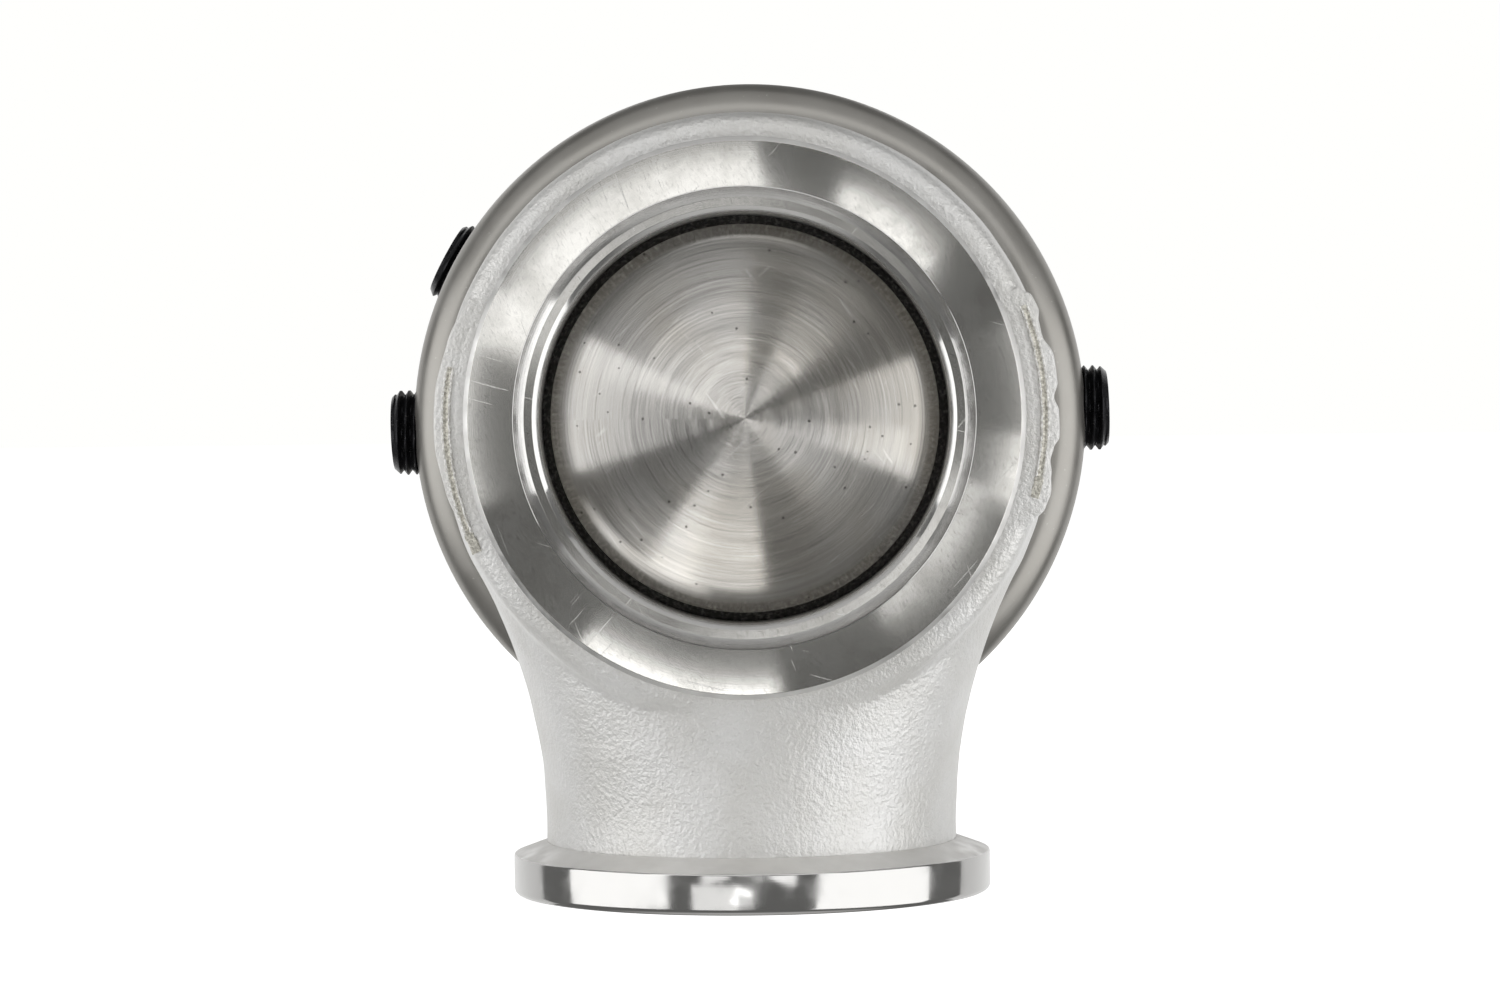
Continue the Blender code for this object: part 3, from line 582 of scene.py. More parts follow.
def neck_half_width(height):
    """Half width of the neck seen from the front: a straight pipe, then an arc that meets the drum."""
    drum_taper = 0.05
    rise = AXIS_HEIGHT - NECK_STRAIGHT
    blend = (NECK_RADIUS ** 2 + rise ** 2 - DRUM_RADIUS ** 2) / (2.0 * (DRUM_RADIUS - NECK_RADIUS))
    meeting = AXIS_HEIGHT - rise * DRUM_RADIUS / (DRUM_RADIUS + blend)
    if height <= NECK_STRAIGHT:
        return NECK_RADIUS
    if height < meeting:
        return NECK_RADIUS + blend - math.sqrt(blend ** 2 - (height - NECK_STRAIGHT) ** 2)
    return math.sqrt((DRUM_RADIUS - drum_taper * (height - meeting)) ** 2 - (height - AXIS_HEIGHT) ** 2)


def neck_solid():
    """Outlet neck: round at the flange, and a rounded box where it enters the drum."""
    bottom, top, narrowing = 5.0 * MM, 46.0 * MM, 0.6 * MM
    sections, around = 40, 128
    shape = bmesh.new()
    rings = []
    for number in range(sections):
        height = bottom + (top - bottom) * number / (sections - 1)
        rise = max(0.0, (height - NECK_STRAIGHT) / (top - NECK_STRAIGHT))
        power = 2.0 / (2.0 + 3.2 * rise ** 1.5)
        ring = []
        for corner in range(around):
            angle = math.tau * corner / around
            side = math.copysign(abs(math.cos(angle)) ** power, math.cos(angle))
            front = math.copysign(abs(math.sin(angle)) ** power, math.sin(angle))
            depth = (NECK_RADIUS - narrowing * rise) * front
            ring.append(shape.verts.new((neck_half_width(height) * side, depth, height)))
        rings.append(ring)
    loft(shape, rings)
    return at_outlet(new_object("neck_solid", made_mesh(shape, "neck_solid")))


def merged(pieces, name):
    """Joins closed pieces into one object."""
    bpy.context.view_layer.update()
    shape = bmesh.new()
    for piece in pieces:
        start = len(shape.verts)
        shape.from_mesh(piece.data)
        shape.verts.ensure_lookup_table()
        bmesh.ops.transform(shape, matrix=piece.matrix_world, verts=shape.verts[start:])
        bpy.data.objects.remove(piece, do_unlink=True)
    return new_object(name, made_mesh(shape, name))


def run_together(casting):
    """Melts the drum and the neck into one skin with soft fillets, and makes it a little uneven."""
    remesh = casting.modifiers.new("run_together", "REMESH")
    remesh.mode = "VOXEL"
    remesh.voxel_size = 0.5 * MM
    relax = casting.modifiers.new("soften", "SMOOTH")
    relax.factor = 0.5
    relax.iterations = 5
    settle(casting)
    lost_in_softening = 0.10 * MM
    vertices = casting.data.vertices
    for vertex, normal in zip(vertices, [vertex.normal.copy() for vertex in vertices]):
        broad = noise.noise(vertex.co / (5.0 * MM)) * 0.07 * MM
        small = noise.noise(vertex.co / (2.2 * MM)) * 0.03 * MM
        vertex.co += normal * (broad + small + lost_in_softening)


def casting_hollows():
    """Tools for the flow chamber, the outlet duct, the guide's bore and the cooling pocket at the rear."""
    chamber_rear, chamber_front, duct_top, rear = 41.0 * MM, 12.2 * MM, 36.0 * MM, 56.0 * MM
    roof, seat_bore, guide, pocket_rear = 34.2 * MM, SEAT_RADIUS + 0.2 * MM, 5.9 * MM, 46.5 * MM
    chamber = on_valve_axis(spun("chamber", [
        (0.0, roof),
        (7.8 * MM, roof, 0.5 * MM),
        (10.3 * MM, chamber_rear, 2.5 * MM),
        (CHAMBER_RADIUS, chamber_rear, 4.0 * MM),
        (CHAMBER_RADIUS, chamber_front, 1.5 * MM),
        (seat_bore, chamber_front),
        (seat_bore, 5.0 * MM),
        (0.0, 5.0 * MM)], [CAST], steps=96))
    duct = at_outlet(spun("duct", [
        (0.0, duct_top),
        (12.0 * MM, duct_top - 2.0 * MM, 8.0 * MM),
        (OUTLET_BORE_RADIUS, 24.0 * MM, 8.0 * MM),
        (OUTLET_BORE_RADIUS, 1.0 * MM),
        (0.0, 1.0 * MM)], [CAST], steps=96))
    guide_bore = on_valve_axis(spun("guide_bore", [
        (0.0, rear), (guide, rear), (guide, 30.0 * MM), (0.0, 30.0 * MM)], [CAST], steps=64))
    pocket = on_valve_axis(spun("pocket", [
        (17.5 * MM, rear), (17.5 * MM, pocket_rear, 2.0 * MM), (11.0 * MM, pocket_rear, 2.0 * MM),
        (11.0 * MM, rear)], [CAST], ring=True, steps=96))
    return chamber, duct, guide_bore, pocket


def make_casting():
    """The rough casting: drum and neck run together, then its hollows."""
    spigot_radius, spigot_front = INLET_NECK_RADIUS - 0.2 * MM, 7.5 * MM
    drum = on_valve_axis(spun("drum", [
        (0.0, BODY_REAR),
        (DRUM_RADIUS, BODY_REAR, 0.6 * MM),
        (DRUM_RADIUS, 30.0 * MM),
        (DRUM_FRONT_RADIUS, DRUM_FRONT, 1.8 * MM),
        (spigot_radius, DRUM_FRONT, 1.0 * MM),
        (spigot_radius, spigot_front),
        (0.0, spigot_front)], []))
    casting = merged([drum, neck_solid()], "body_casting")
    run_together(casting)
    casting.data.materials.append(CAST)
    subtract(casting, *casting_hollows())
    smooth(casting.data, 40.0)
    keep(casting, HOUSING, "cast_stainless", "valve_body")


def edge_radius(edge, degrees):
    """Radius at an angle, eased between the given points."""
    for (start, low), (end, high) in zip(edge, edge[1:]):
        if min(start, end) <= degrees <= max(start, end):
            share = (degrees - start) / (end - start)
            return low + (high - low) * share * share * (3.0 - 2.0 * share)
    return edge[-1][1]


def flash_plate(name, edge):
    """Flat casting flash on the drum's front edge.  edge lists angles in degrees and outer radii in mm."""
    front, rear, inner = DRUM_FRONT - 0.03 * MM, DRUM_FRONT + 2.4 * MM, 29.2 * MM
    steps = 90
    shape = bmesh.new()
    rings = []
    for step in range(steps + 1):
        degrees = edge[0][0] + (edge[-1][0] - edge[0][0]) * step / steps
        radius = edge_radius(edge, degrees) * MM
        outline = [(inner, front), (radius - 0.35 * MM, front), (radius - 0.1 * MM, front + 0.1 * MM),
                   (radius, front + 0.4 * MM), (radius - 0.5 * MM, rear), (inner, rear)]
        rings.append(section(shape, outline, degrees, INLET_FACE))
    loft(shape, rings)
    bmesh.ops.recalc_face_normals(shape, faces=shape.faces)
    mesh = made_mesh(shape, name)
    smooth(mesh, 35.0)
    keep(new_object(name, mesh, CAST), HOUSING, "cast_stainless")


def make_flash():
    """Scalloped flash on the right of the drum, and a smooth pad on its left."""
    flash_plate("flash_right", [
        (25.0, 31.3), (22.5, 32.2), (20.0, 32.3), (17.5, 31.9), (15.0, 31.8), (11.0, 32.5), (6.0, 32.45),
        (3.3, 31.95), (0.8, 32.4), (-4.0, 32.5), (-6.1, 32.0), (-8.2, 31.8), (-11.0, 32.15), (-14.4, 32.5),
        (-17.4, 32.35), (-20.0, 31.7), (-22.0, 31.2)])
    flash_plate("flash_left", [
        (156.0, 31.2), (165.0, 31.8), (175.0, 32.2), (184.0, 32.25), (193.0, 31.9), (203.0, 31.2)])


def gate_mark(name, start, end, patch_end):
    """Ground-off gate: a low ridge with bright ragged borders and a granular top, then a broken patch.

    The angles are in degrees round the valve axis, counted from +X towards +Z.
    """
    inner, outer, height, border, foot = 30.55 * MM, 31.35 * MM, 0.22 * MM, 0.14 * MM, 0.12 * MM
    patch_share, sag, rag_size, root = 0.45, 0.45, 0.10 * MM, 0.1 * MM
    steps, end_steps = 150, 6.0
    face = INLET_FACE + DRUM_FRONT - 0.05 * MM
    angles = [start + (patch_end - start) * step / steps for step in range(steps + 1)]
    in_patch = [abs(degrees - start) > abs(end - start) for degrees in angles]
    shape = bmesh.new()
    rows = []
    for step, degrees in enumerate(angles):
        ends = min(1.0, step / end_steps, (steps - step) / end_steps)
        rag = [noise.noise(Vector((step * 0.45, 7.3 * side, len(name)))) * rag_size for side in (1, 2, 3, 4)]
        top = height * ends * (patch_share if in_patch[step] else 1.0)
        outline = [(inner - foot + rag[0], root), (inner + rag[1], -top), (inner + border + rag[1], -top),
                   ((inner + outer) / 2.0, rag[2] * 0.8 - top * sag), (outer - border + rag[3], -top),
                   (outer + rag[3], -top), (outer + foot + rag[0], root)]
        rows.append(section(shape, outline, degrees, face))
    for before, after, broken in zip(rows, rows[1:], in_patch):
        for corner in range(len(before) - 1):
            facet = shape.faces.new((before[corner], before[corner + 1], after[corner + 1], after[corner]))
            facet.material_index = 1 if corner in (2, 3) or broken else 0
    bmesh.ops.recalc_face_normals(shape, faces=shape.faces)
    if sum(facet.normal.y for facet in shape.faces) > 0.0:
        bmesh.ops.reverse_faces(shape, faces=shape.faces)
    mesh = made_mesh(shape, name)
    smooth(mesh, 25.0)
    keep(new_object(name, mesh, TORN, GRANULAR), HOUSING, "cast_stainless")


def make_inlet_flange():
    """Turned inlet flange with its clamp groove: lapped face, satin rim."""
    bore = SEAT_RADIUS + 0.02 * MM
    flange = spun("inlet_flange", [
        (INLET_NECK_RADIUS, INLET_FLANGE_REAR),
        (INLET_NECK_RADIUS, 5.1 * MM, 0.3 * MM),
        (INLET_FLANGE_RADIUS, FLANGE_RIM, 0.25 * MM),
        (INLET_FLANGE_RADIUS, 0.5 * MM, 0.12 * MM),
        (INLET_FLANGE_RADIUS - 0.5 * MM, 0.0, 0.08 * MM),
        (bore, 0.0),
        (bore, INLET_FLANGE_REAR)], [FACE, SATIN],
        paint=lambda radius, height: 0 if height < 0.02 * MM else 1, ring=True, steps=256)
    keep(on_valve_axis(flange), HOUSING, "cast_stainless")


def make_outlet_flange():
    """Turned outlet flange: mirror-bright rim, 20 degree bevel and a thin relief at the neck."""
    bevel_top = FLANGE_RIM + (OUTLET_FLANGE_RADIUS - NECK_RADIUS) * math.tan(math.radians(20.0))
    bore, relief, top = OUTLET_BORE_RADIUS + 0.1 * MM, NECK_RADIUS - 0.35 * MM, 7.0 * MM
    flange = spun("outlet_flange", [
        (bore, top),
        (relief, top),
        (relief, bevel_top - 0.1 * MM, 0.1 * MM),
        (NECK_RADIUS + 0.15 * MM, bevel_top - 0.05 * MM, 0.1 * MM),
        (OUTLET_FLANGE_RADIUS, FLANGE_RIM, 0.3 * MM),
        (OUTLET_FLANGE_RADIUS, 0.0, 0.65 * MM),
        (OUTLET_BORE_RADIUS + 1.0 * MM, 0.0),
        (bore, 0.9 * MM)], [RIM, SATIN],
        paint=lambda radius, height: 0 if 0.01 * MM <= height <= FLANGE_RIM else 1, ring=True, steps=256)
    keep(at_outlet(flange), HOUSING, "cast_stainless")


# --------------------------------------------------------------- seat and valve

def make_seat_ring():
    """Stepped, polished lip in the inlet; below it the bore is rough, with painted shade darkening it down to
    the seat.
    """
    shelf, lip, bore, throat = 22.35 * MM, 21.5 * MM, 20.85 * MM, 22.8 * MM
    shelf_depth, shade_front, seat_start = 1.1 * MM, 2.0 * MM, 8.8 * MM

    def paint(radius, height):
        # Faces deeper than this front take the dark gap material, painted shade for the bore's recess.
        if height > shade_front:
            return 2
        return 1 if shelf_depth - 0.05 * MM < height < shelf_depth + 0.02 * MM else 0

    ring = spun("seat_ring_piece", [
        (SEAT_RADIUS, SEAT_LENGTH),
        (SEAT_RADIUS, 0.02 * MM),
        (SEAT_RADIUS - 0.05 * MM, 0.0),
        (shelf, shelf_depth, 0.06 * MM),
        (lip, shelf_depth, 0.06 * MM),
        (bore, 1.75 * MM, 0.06 * MM),
        (bore, 2.4 * MM),
        (bore, seat_start),
        (throat, seat_start + throat - bore),
        (throat, SEAT_LENGTH)], [POLISHED, FACE, PAINTED_GAP_SHADE], paint=paint, ring=True, steps=256)
    keep(on_valve_axis(ring), HOUSING, "seat_steel", "seat_ring")


def make_valve():
    """Poppet valve: turned face, bevelled edge, seat cone, tulip and threaded stem."""
    face, front, cone, edge = 18.7 * MM, 19.9 * MM, 8.133 * MM, VALVE_FACE + 1.45 * MM
    stem, thread, thread_start = 3.95 * MM, 3.0 * MM, 66.6 * MM
    apex = VALVE_FACE + 0.02 * MM
    crown = [(face * share, apex + 1.0 * MM * share ** 2)
             for share in (1.0, 0.92, 0.84, 0.75, 0.66, 0.56, 0.46, 0.36, 0.24, 0.12)]
    valve = spun("valve_piece", [
        (0.0, STEM_END),
        (thread - 0.5 * MM, STEM_END),
        (thread, STEM_END - 0.5 * MM),
        (thread, thread_start),
        (stem, thread_start),
        (stem, 22.0 * MM, 12.0 * MM),
        (7.0 * MM, 15.0 * MM, 10.0 * MM),
        (VALVE_RADIUS, cone + 3.6 * MM, 0.3 * MM),
        (VALVE_RADIUS, cone + VALVE_RADIUS - front, 0.2 * MM),
        (front, cone),
        (front, edge, 0.12 * MM),
        *crown,
        # The flank behind the bevelled edge takes the dark gap material, painted shade for the recess round
        # the valve.
        (0.0, apex)], [VALVE_TURNED, PAINTED_GAP_SHADE],
        paint=lambda radius, height: 1 if edge + 0.05 * MM < height < 12.5 * MM else 0, steps=256)
    keep(on_valve_axis(valve), TRAIN, "valve_steel", "valve")


# --------------------------------------------------------------------- actuator

def facing_out(thing, angle, distance):
    """Stands a piece on the valve axis at this distance, so that its own Z points out at the angle."""
    thing.location = (0.0, INLET_FACE + distance, AXIS_HEIGHT)
    thing.rotation_euler = (0.0, math.pi / 2.0 - angle, 0.0)
    return thing


def node_centre(node):
    low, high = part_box(node)
    return (low + high) / 2.0


def port_angle(node):
    """Angle of a port plug round the valve axis, counted from +X towards +Z."""
    centre = node_centre(node)
    return math.atan2(centre.z - AXIS_HEIGHT, centre.x)


def cut_port(thing, node):
    """Cuts the plain hole that this port plug stands in."""
    radius, low, high = 5.0 * MM, 28.5 * MM, 41.0 * MM
    tool = spun("port", [(0.0, high), (radius, high), (radius, low), (0.0, low)], [ANODISED], steps=64)
    subtract(thing, facing_out(tool, port_angle(node), node_centre(node).y - INLET_FACE))


def cut_screw_hole(thing, node, head_radius, shank_radius, seat, top, bottom):
    """Cuts a counterbore and a clearance hole for the screw of this node."""
    centre = node_centre(node)
    tool = spun("screw_tool", [(0.0, top), (head_radius, top), (head_radius, seat), (shank_radius, seat),
                               (shank_radius, bottom), (0.0, bottom)], [ANODISED], steps=48)
    tool.location = (centre.x, INLET_FACE, centre.z)
    tool.rotation_euler = TO_THE_REAR
    subtract(thing, tool)


def make_actuator_base():
    """Lower half of the actuator: a full-round front edge, an air gap behind it and the working chamber."""
    flange_front, gap_floor, gap_radius = 57.3 * MM, 59.0 * MM, 34.6 * MM
    hub, guide_bore, seal_bore, seal_floor = 30.0 * MM, 4.25 * MM, 8.1 * MM, 57.8 * MM
    chamber_floor, ledge = 62.0 * MM, 72.75 * MM
    base = on_valve_axis(spun("actuator_base_piece", [
        (HALVES_STEP, BASE_REAR),
        (ACTUATOR_RADIUS, BASE_REAR, 0.35 * MM),
        (ACTUATOR_RADIUS, flange_front, 4.1 * MM),
        (gap_radius, flange_front, 0.15 * MM),
        (gap_radius, gap_floor, 0.3 * MM),
        (hub, gap_floor, 0.3 * MM),
        (hub, BASE_FRONT, 0.2 * MM),
        (guide_bore, BASE_FRONT),
        (guide_bore, seal_floor),
        (seal_bore, seal_floor),
        (seal_bore, chamber_floor),
        (HALVES_BORE, chamber_floor, 1.5 * MM),
        (HALVES_BORE, ledge, 0.4 * MM),
        (HALVES_STEP, ledge)], [ANODISED], ring=True, segments=8))
    for node in BASE_PLUGS:
        cut_port(base, node)
    for node in BASE_SCREWS:
        cut_screw_hole(base, node, 4.6 * MM, 2.8 * MM, 58.5 * MM, 64.0 * MM, 53.0 * MM)
    smooth(base.data)
    keep(base, HOUSING, "anodised_aluminium", "actuator_base")


def make_actuator_cap():
    """Upper half of the actuator: a stepped turret with a shallow dish and six counterbored screws."""
    shoulder, turret, dish = 89.0 * MM, 28.5 * MM, CAP_REAR - 0.8 * MM
    ledge, bore_roof, spring_well, well_roof = CAP_FRONT + 0.6 * MM, 86.4 * MM, 22.6 * MM, 93.5 * MM
    cap = on_valve_axis(spun("actuator_cap_piece", [
        (0.0, dish),
        (21.0 * MM, dish, 0.4 * MM),
        (21.8 * MM, CAP_REAR, 0.2 * MM),
        (turret, CAP_REAR, 2.0 * MM),
        (turret, shoulder, 2.0 * MM),
        (ACTUATOR_RADIUS, shoulder, 1.5 * MM),
        (ACTUATOR_RADIUS, CAP_FRONT, 0.35 * MM),
        (HALVES_STEP, CAP_FRONT),
        (HALVES_STEP, ledge),
        (HALVES_BORE, ledge, 0.4 * MM),
        (HALVES_BORE, bore_roof, 1.0 * MM),
        (spring_well, bore_roof, 0.3 * MM),
        (spring_well, well_roof, 1.0 * MM),
        (0.0, well_roof)], [ANODISED], segments=8))
    cut_port(cap, CAP_PLUG)
    for node in CAP_SCREWS:
        cut_screw_hole(cap, node, 3.55 * MM, 2.3 * MM, 84.5 * MM, 92.0 * MM, 72.0 * MM)
    smooth(cap.data)
    keep(cap, HOUSING, "anodised_aluminium", "actuator_cap")


def hex_tool(across_flats, low, high):
    """Hexagonal socket cutter."""
    shape = bmesh.new()
    corner = across_flats / math.sqrt(3.0)
    bmesh.ops.create_cone(shape, cap_ends=True, segments=6, radius1=corner, radius2=corner, depth=high - low)
    bmesh.ops.translate(shape, verts=shape.verts, vec=(0.0, 0.0, (low + high) / 2.0))
    return new_object("hex_tool", made_mesh(shape, "hex_tool"), BLACK)


def make_port_plug(node):
    """Headless plug with a real helical thread, a chamfered end and a hexagonal socket."""
    centre = node_centre(node)
    out = math.hypot(centre.x, centre.z - AXIS_HEIGHT) + 4.65 * MM
    crest, depth, length, chamfer, lead_in = 4.93 * MM, 0.56 * MM, 9.3 * MM, 0.75 * MM, 0.5 * MM
    pitch, around, per_pitch = 1.0 * MM, 72, 10
    rows = int(length / pitch * per_pitch)
    shape = bmesh.new()
    rings = []
    for row in range(rows + 1):
        height = -length + length * row / rows
        limit = crest - max(0.0, chamfer + height) * 0.95 - max(0.0, lead_in - (height + length)) * 0.9
        ring = []
        for step in range(around):
            turn = math.tau * step / around
            phase = (height / pitch + turn / math.tau) % 1.0
            groove = depth * min(1.0, max(0.0, 1.0 - abs(phase - 0.5) / 0.42)) ** 0.9
            radius = min(crest - groove, limit)
            ring.append(shape.verts.new((radius * math.cos(turn), radius * math.sin(turn), out + height)))
        rings.append(ring)
    loft(shape, rings)
    plug = new_object(node + "_piece", made_mesh(shape, node + "_piece"), BLACK)
    subtract(plug, hex_tool(5.0 * MM, out - 4.0 * MM, out + 1.0 * MM))
    smooth(plug.data, 35.0)
    keep(facing_out(plug, port_angle(node), centre.y - INLET_FACE), HOUSING, "black_oxide", node)


def make_socket_screw(node, size, length):
    """Socket head cap screw with a knurled head, standing where its CAD node stands."""
    low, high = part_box(node)
    head_radius, flutes, flute_share = size * 0.85, 36, 0.975
    screw = spun(node + "_piece", [
        (0.0, size),
        (head_radius, size, 0.12 * size),
        (head_radius, 0.0),
        (size / 2.0, 0.0, 0.05 * size),
        (size / 2.0, 0.1 * size - length),
        (size * 0.4, -length),
        (0.0, -length)], [BLACK], steps=flutes * 2)
    for vertex in screw.data.vertices:
        turn = math.atan2(vertex.co.y, vertex.co.x)
        on_side = math.hypot(vertex.co.x, vertex.co.y) > head_radius * 0.985
        if on_side and round(turn * flutes / math.pi) % 2:
            vertex.co.x *= flute_share
            vertex.co.y *= flute_share
    subtract(screw, hex_tool(size * 0.8, size * 0.5, size * 1.5))
    smooth(screw.data, 30.0)
    screw.location = ((low.x + high.x) / 2.0, high.y - size, (low.z + high.z) / 2.0)
    screw.rotation_euler = TO_THE_REAR
    keep(screw, HOUSING, "black_oxide", node)


def make_spring(node, mean, wire, turns):
    """Coil with a closed turn at each end."""
    front, rear = span(node)
    path_low, path_high = front + wire / 2.0, rear - wire / 2.0
    closed_rise = wire + 0.3 * MM
    open_rise = (path_high - path_low - 2.0 * closed_rise) / (turns - 2.0)
    curve = bpy.data.curves.new(node + "_wire", "CURVE")
    curve.dimensions = "3D"
    curve.bevel_depth = wire / 2.0
    curve.bevel_resolution = 6
    curve.use_fill_caps = True
    line = curve.splines.new("POLY")
    count = turns * 48
    line.points.add(count)
    for index in range(count + 1):
        turn = turns * index / count
        height = path_low + closed_rise * (min(turn, 1.0) + max(turn - turns + 1.0, 0.0))
        height += open_rise * min(max(turn - 1.0, 0.0), turns - 2.0)
        angle = math.tau * turn
        line.points[index].co = (mean * math.cos(angle), mean * math.sin(angle), height, 1.0)
    wire_object = on_valve_axis(new_object(node + "_wire", curve))
    mesh = evaluated_mesh(wire_object)
    spring = on_valve_axis(new_object(node + "_piece", mesh, SPRING))
    bpy.data.objects.remove(wire_object, do_unlink=True)
    smooth(mesh, 60.0)
    keep(spring, HOUSING, "spring_steel", node)
    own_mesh(spring)


def finish_cad_nodes():
    """Gives the carried-over CAD nodes their materials."""
    finishes = {"stem_guide": BRONZE, "heat_gasket": FIBRE, "stem_seal": RUBBER, "seal_retainer": ZINC,
                "diaphragm": SILICONE, "lower_plate": PLATE, "upper_plate": PLATE, "plate_washer": ZINC,
                "lock_nut": ZINC}
    for node, material in finishes.items():
        piece = frame["nodes"][node]
        piece.data.materials.clear()
        piece.data.materials.append(material)
        smooth(piece.data)


# ---------------------------------------------------------------- stage and view

def area_light(name, width, height, radiance):
    """A lit rectangle that is unseen by the camera."""
    light = bpy.data.lights.new(name, "AREA")
    light.shape = "RECTANGLE"
    light.size = width
    light.size_y = height
    light.energy = radiance * width * height * math.pi
    lamp = new_object(name, light)
    lamp.visible_camera = False
    return lamp


def panel(name, side, up, wide, tall, radiance, target, distance=0.6):
    """A lit rectangle that faces the target, this many degrees wide and tall.

    It stands side degrees to the right of -Y and up degrees above the horizon, as seen from the target.
    """
    lamp = area_light(name, 2.0 * distance * math.tan(math.radians(wide) / 2.0),
                      2.0 * distance * math.tan(math.radians(tall) / 2.0), radiance)
    side, up = math.radians(side), math.radians(up)
    place = Vector((math.sin(side) * math.cos(up), -math.cos(side) * math.cos(up), math.sin(up)))
    lamp.location = target + distance * place
    lamp.rotation_euler = (target - lamp.location).to_track_quat("-Z", "Y").to_euler()


def sector(name, first, last, inner, outer, radiance, target, distance=0.9):
    """A lit panel shaped as a sector round the valve axis, unseen by the camera.

    first and last are angles from +X, counted clockwise as seen from the front; inner and outer are degrees
    off the axis as seen from the target.
    """
    steps = 12
    shape = bmesh.new()
    rows = []
    for off in (inner, outer):
        spread = distance * math.tan(math.radians(off))
        angles = [math.radians(first + (last - first) * step / steps) for step in range(steps + 1)]
        rows.append([shape.verts.new((target.x + spread * math.cos(angle), target.y - distance,
                                      target.z - spread * math.sin(angle))) for angle in angles])
    for step in range(steps):
        shape.faces.new((rows[0][step], rows[0][step + 1], rows[1][step + 1], rows[1][step]))
    glow = bpy.data.materials.new(name)
    glow.use_nodes = True
    emission = glow.node_tree.nodes.new("ShaderNodeEmission")
    emission.inputs["Strength"].default_value = radiance
    glow.node_tree.links.new(emission.outputs[0], glow.node_tree.nodes["Material Output"].inputs["Surface"])
    lit = new_object(name, made_mesh(shape, name), glow)
    lit.visible_camera = False


def make_floor():
    """White paper under the object, which neither shows in the metal nor stops the low card's light."""
    shape = bmesh.new()
    bmesh.ops.create_grid(shape, x_segments=1, y_segments=1, size=30.0)
    paper = Finish("floor_paper", (0.9, 0.9, 0.9), 0.9, 0.0)
    fibres = paper.noise(4 * MM, detail=3.0)
    paper.set("Base Color", paper.colour_mix(fibres, (0.89, 0.89, 0.89), (0.91, 0.91, 0.91)))
    paper.set("Emission Color", (1.0, 1.0, 1.0, 1.0))
    paper.set("Emission Strength", 0.9)
    floor = new_object("floor", made_mesh(shape, "floor"), paper.material)
    floor.visible_glossy = False
    floor.visible_shadow = False


def make_world():
    """White behind the object; the metal mirrors a dim studio, a little brighter behind and below."""
    world = bpy.data.worlds.new("studio")
    bpy.context.scene.world = world
    world.use_nodes = True
    studio = Nodes(world.node_tree)
    direction = studio.apart(world.node_tree.nodes.new("ShaderNodeTexCoord").outputs["Generated"])
    seen = world.node_tree.nodes.new("ShaderNodeLightPath").outputs["Is Camera Ray"]
    behind = studio.ramp(direction["Y"], 0.60, 0.95, 0.17, 0.30)
    below = studio.ramp(direction["Z"], -0.98, -0.75, 0.40, 0.0)
    background = world.node_tree.nodes["Background"]
    strength = studio.math("MAXIMUM", studio.math("ADD", behind, below), seen)
    studio.feed(background.inputs["Strength"], strength)
    studio.feed(background.inputs["Color"], (1.0, 1.0, 0.985, 1.0))


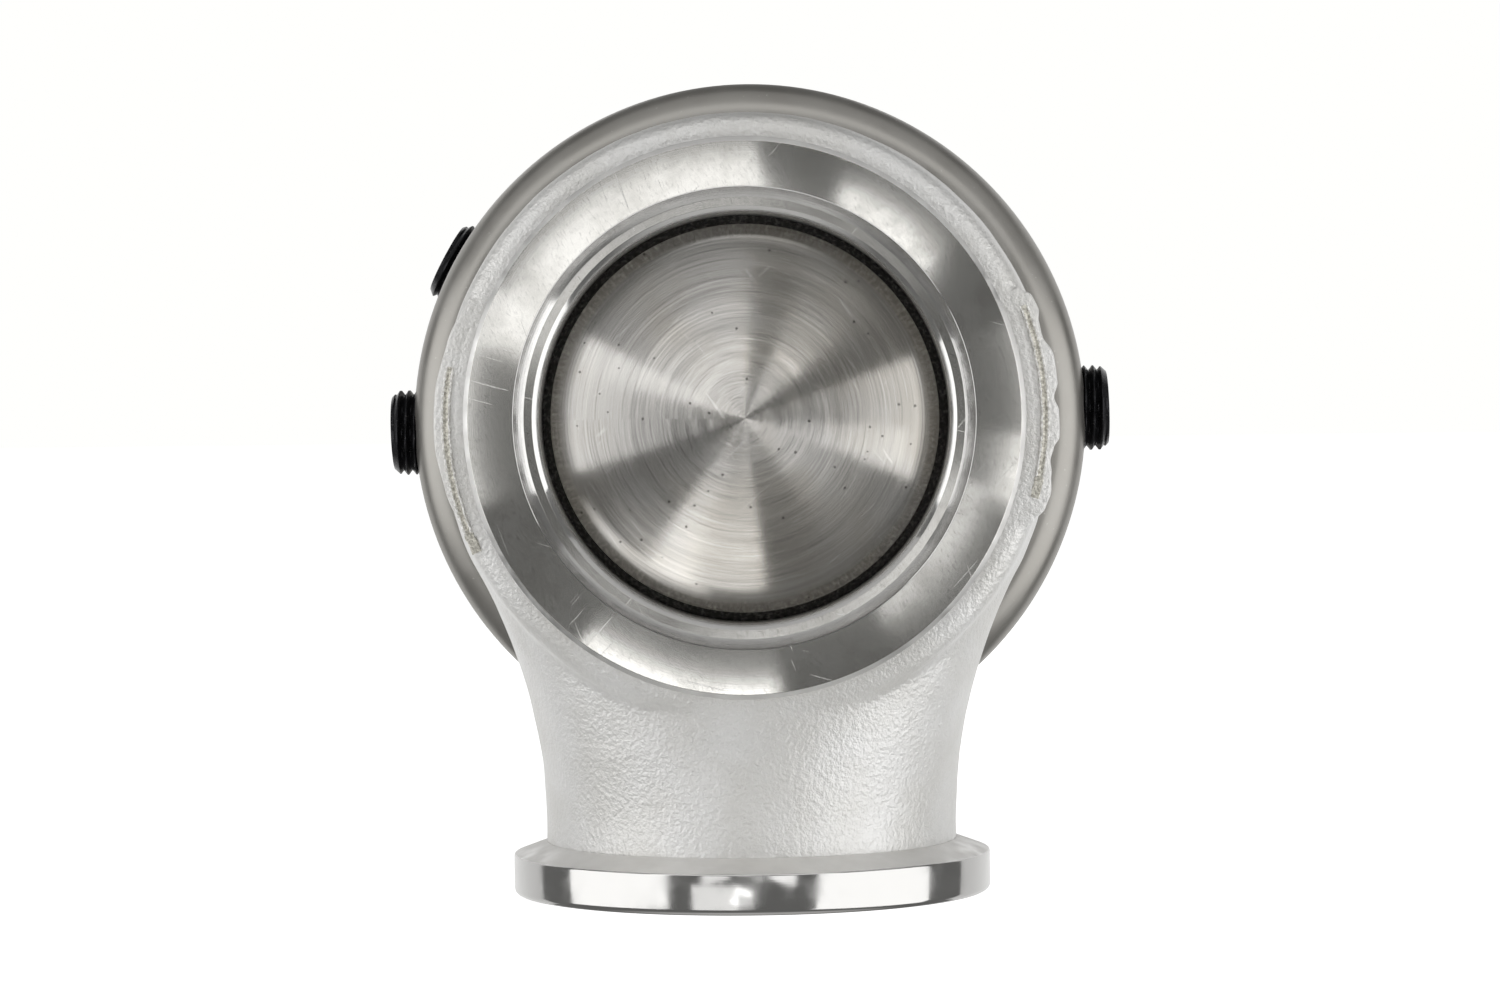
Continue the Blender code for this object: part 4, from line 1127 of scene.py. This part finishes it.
def make_lights(target):
    """Soft boxes at the sides, cards above, and panels in front that the turned faces mirror as wedges."""
    panel("softbox_left", -69.5, 2.0, 57.0, 46.0, 1.45, target)
    panel("softbox_right", 64.0, -7.0, 62.0, 56.0, 1.45, target)
    panel("backdrop_left", -146.0, 0.0, 50.0, 70.0, 0.6, target)
    panel("backdrop_right", 146.0, 0.0, 50.0, 70.0, 0.6, target)
    sector("key_upper_left", 196.0, 269.0, 1.2, 9.4, 1.65, target)
    sector("key_upper_right", 287.0, 315.0, 2.5, 6.8, 2.3, target)
    sector("key_lower_right", 16.0, 60.0, 1.2, 6.4, 1.15, target)
    sector("fill_low_inner", 86.0, 130.0, 9.0, 11.8, 3.0, target)
    sector("fill_low", 86.0, 126.0, 11.5, 18.0, 1.05, target)
    sector("fill_left", 164.0, 208.0, 10.4, 24.0, 1.3, target)
    sector("fill_right", 339.0, 381.0, 11.0, 22.0, 1.5, target)
    sector("fill_right_inner", 363.0, 378.0, 8.0, 11.0, 1.8, target)
    panel("ceiling_front", -4.0, 42.0, 84.0, 26.0, 1.15, target, 0.9)
    panel("ceiling", 0.0, 80.0, 110.0, 46.0, 0.35, target, 0.9)
    card = area_light("low_card", 116.0 * MM, 70.0 * MM, 1.05)
    card.location = (-87.0 * MM, INLET_FACE - 250.0 * MM, -49.0 * MM)
    card.rotation_euler = (math.radians(90.0), 0.0, 0.0)


def make_camera(target):
    """Long lens almost along the valve axis, at the height of the valve, turned and tipped a little."""
    data = bpy.data.cameras.new("camera")
    data.lens = 100.0
    data.sensor_width = 36.0
    data.clip_start = 0.01
    camera = new_object("camera", data)
    forward = Vector((-0.0093, 1.0, -0.0160)).normalized()
    distance, side, rise, roll = 420.0 * MM, -0.49 * MM, 8.32 * MM, math.radians(0.63)
    turn = forward.to_track_quat("-Z", "Y").to_matrix()
    right, up = turn.col[0], turn.col[1]
    camera.location = target - forward * distance - right * side - up * rise
    camera.rotation_euler = (turn @ Matrix.Rotation(-roll, 3, "Z")).to_euler()
    bpy.context.scene.camera = camera


def main():
    make_casting()
    make_flash()
    gate_mark("gate_mark_right", 21.5, -11.9, -16.0)
    gate_mark("gate_mark_left", 169.5, 202.0, 206.0)
    make_inlet_flange()
    make_outlet_flange()
    make_seat_ring()
    make_valve()
    make_actuator_base()
    make_actuator_cap()
    for node in (*BASE_PLUGS, CAP_PLUG):
        make_port_plug(node)
    for node in BASE_SCREWS:
        make_socket_screw(node, 5.0 * MM, 11.5 * MM)
    for node in CAP_SCREWS:
        make_socket_screw(node, 4.0 * MM, 20.0 * MM)
    make_spring("outer_spring", 20.0 * MM, 2.4 * MM, 4)
    make_spring("inner_spring", 13.0 * MM, 2.0 * MM, 5)
    finish_cad_nodes()
    inlet_centre = Vector((0.0, INLET_FACE, AXIS_HEIGHT))
    make_floor()
    make_world()
    make_lights(inlet_centre)
    make_camera(inlet_centre)
    bpy.context.scene.view_settings.view_transform = "Standard"


main()
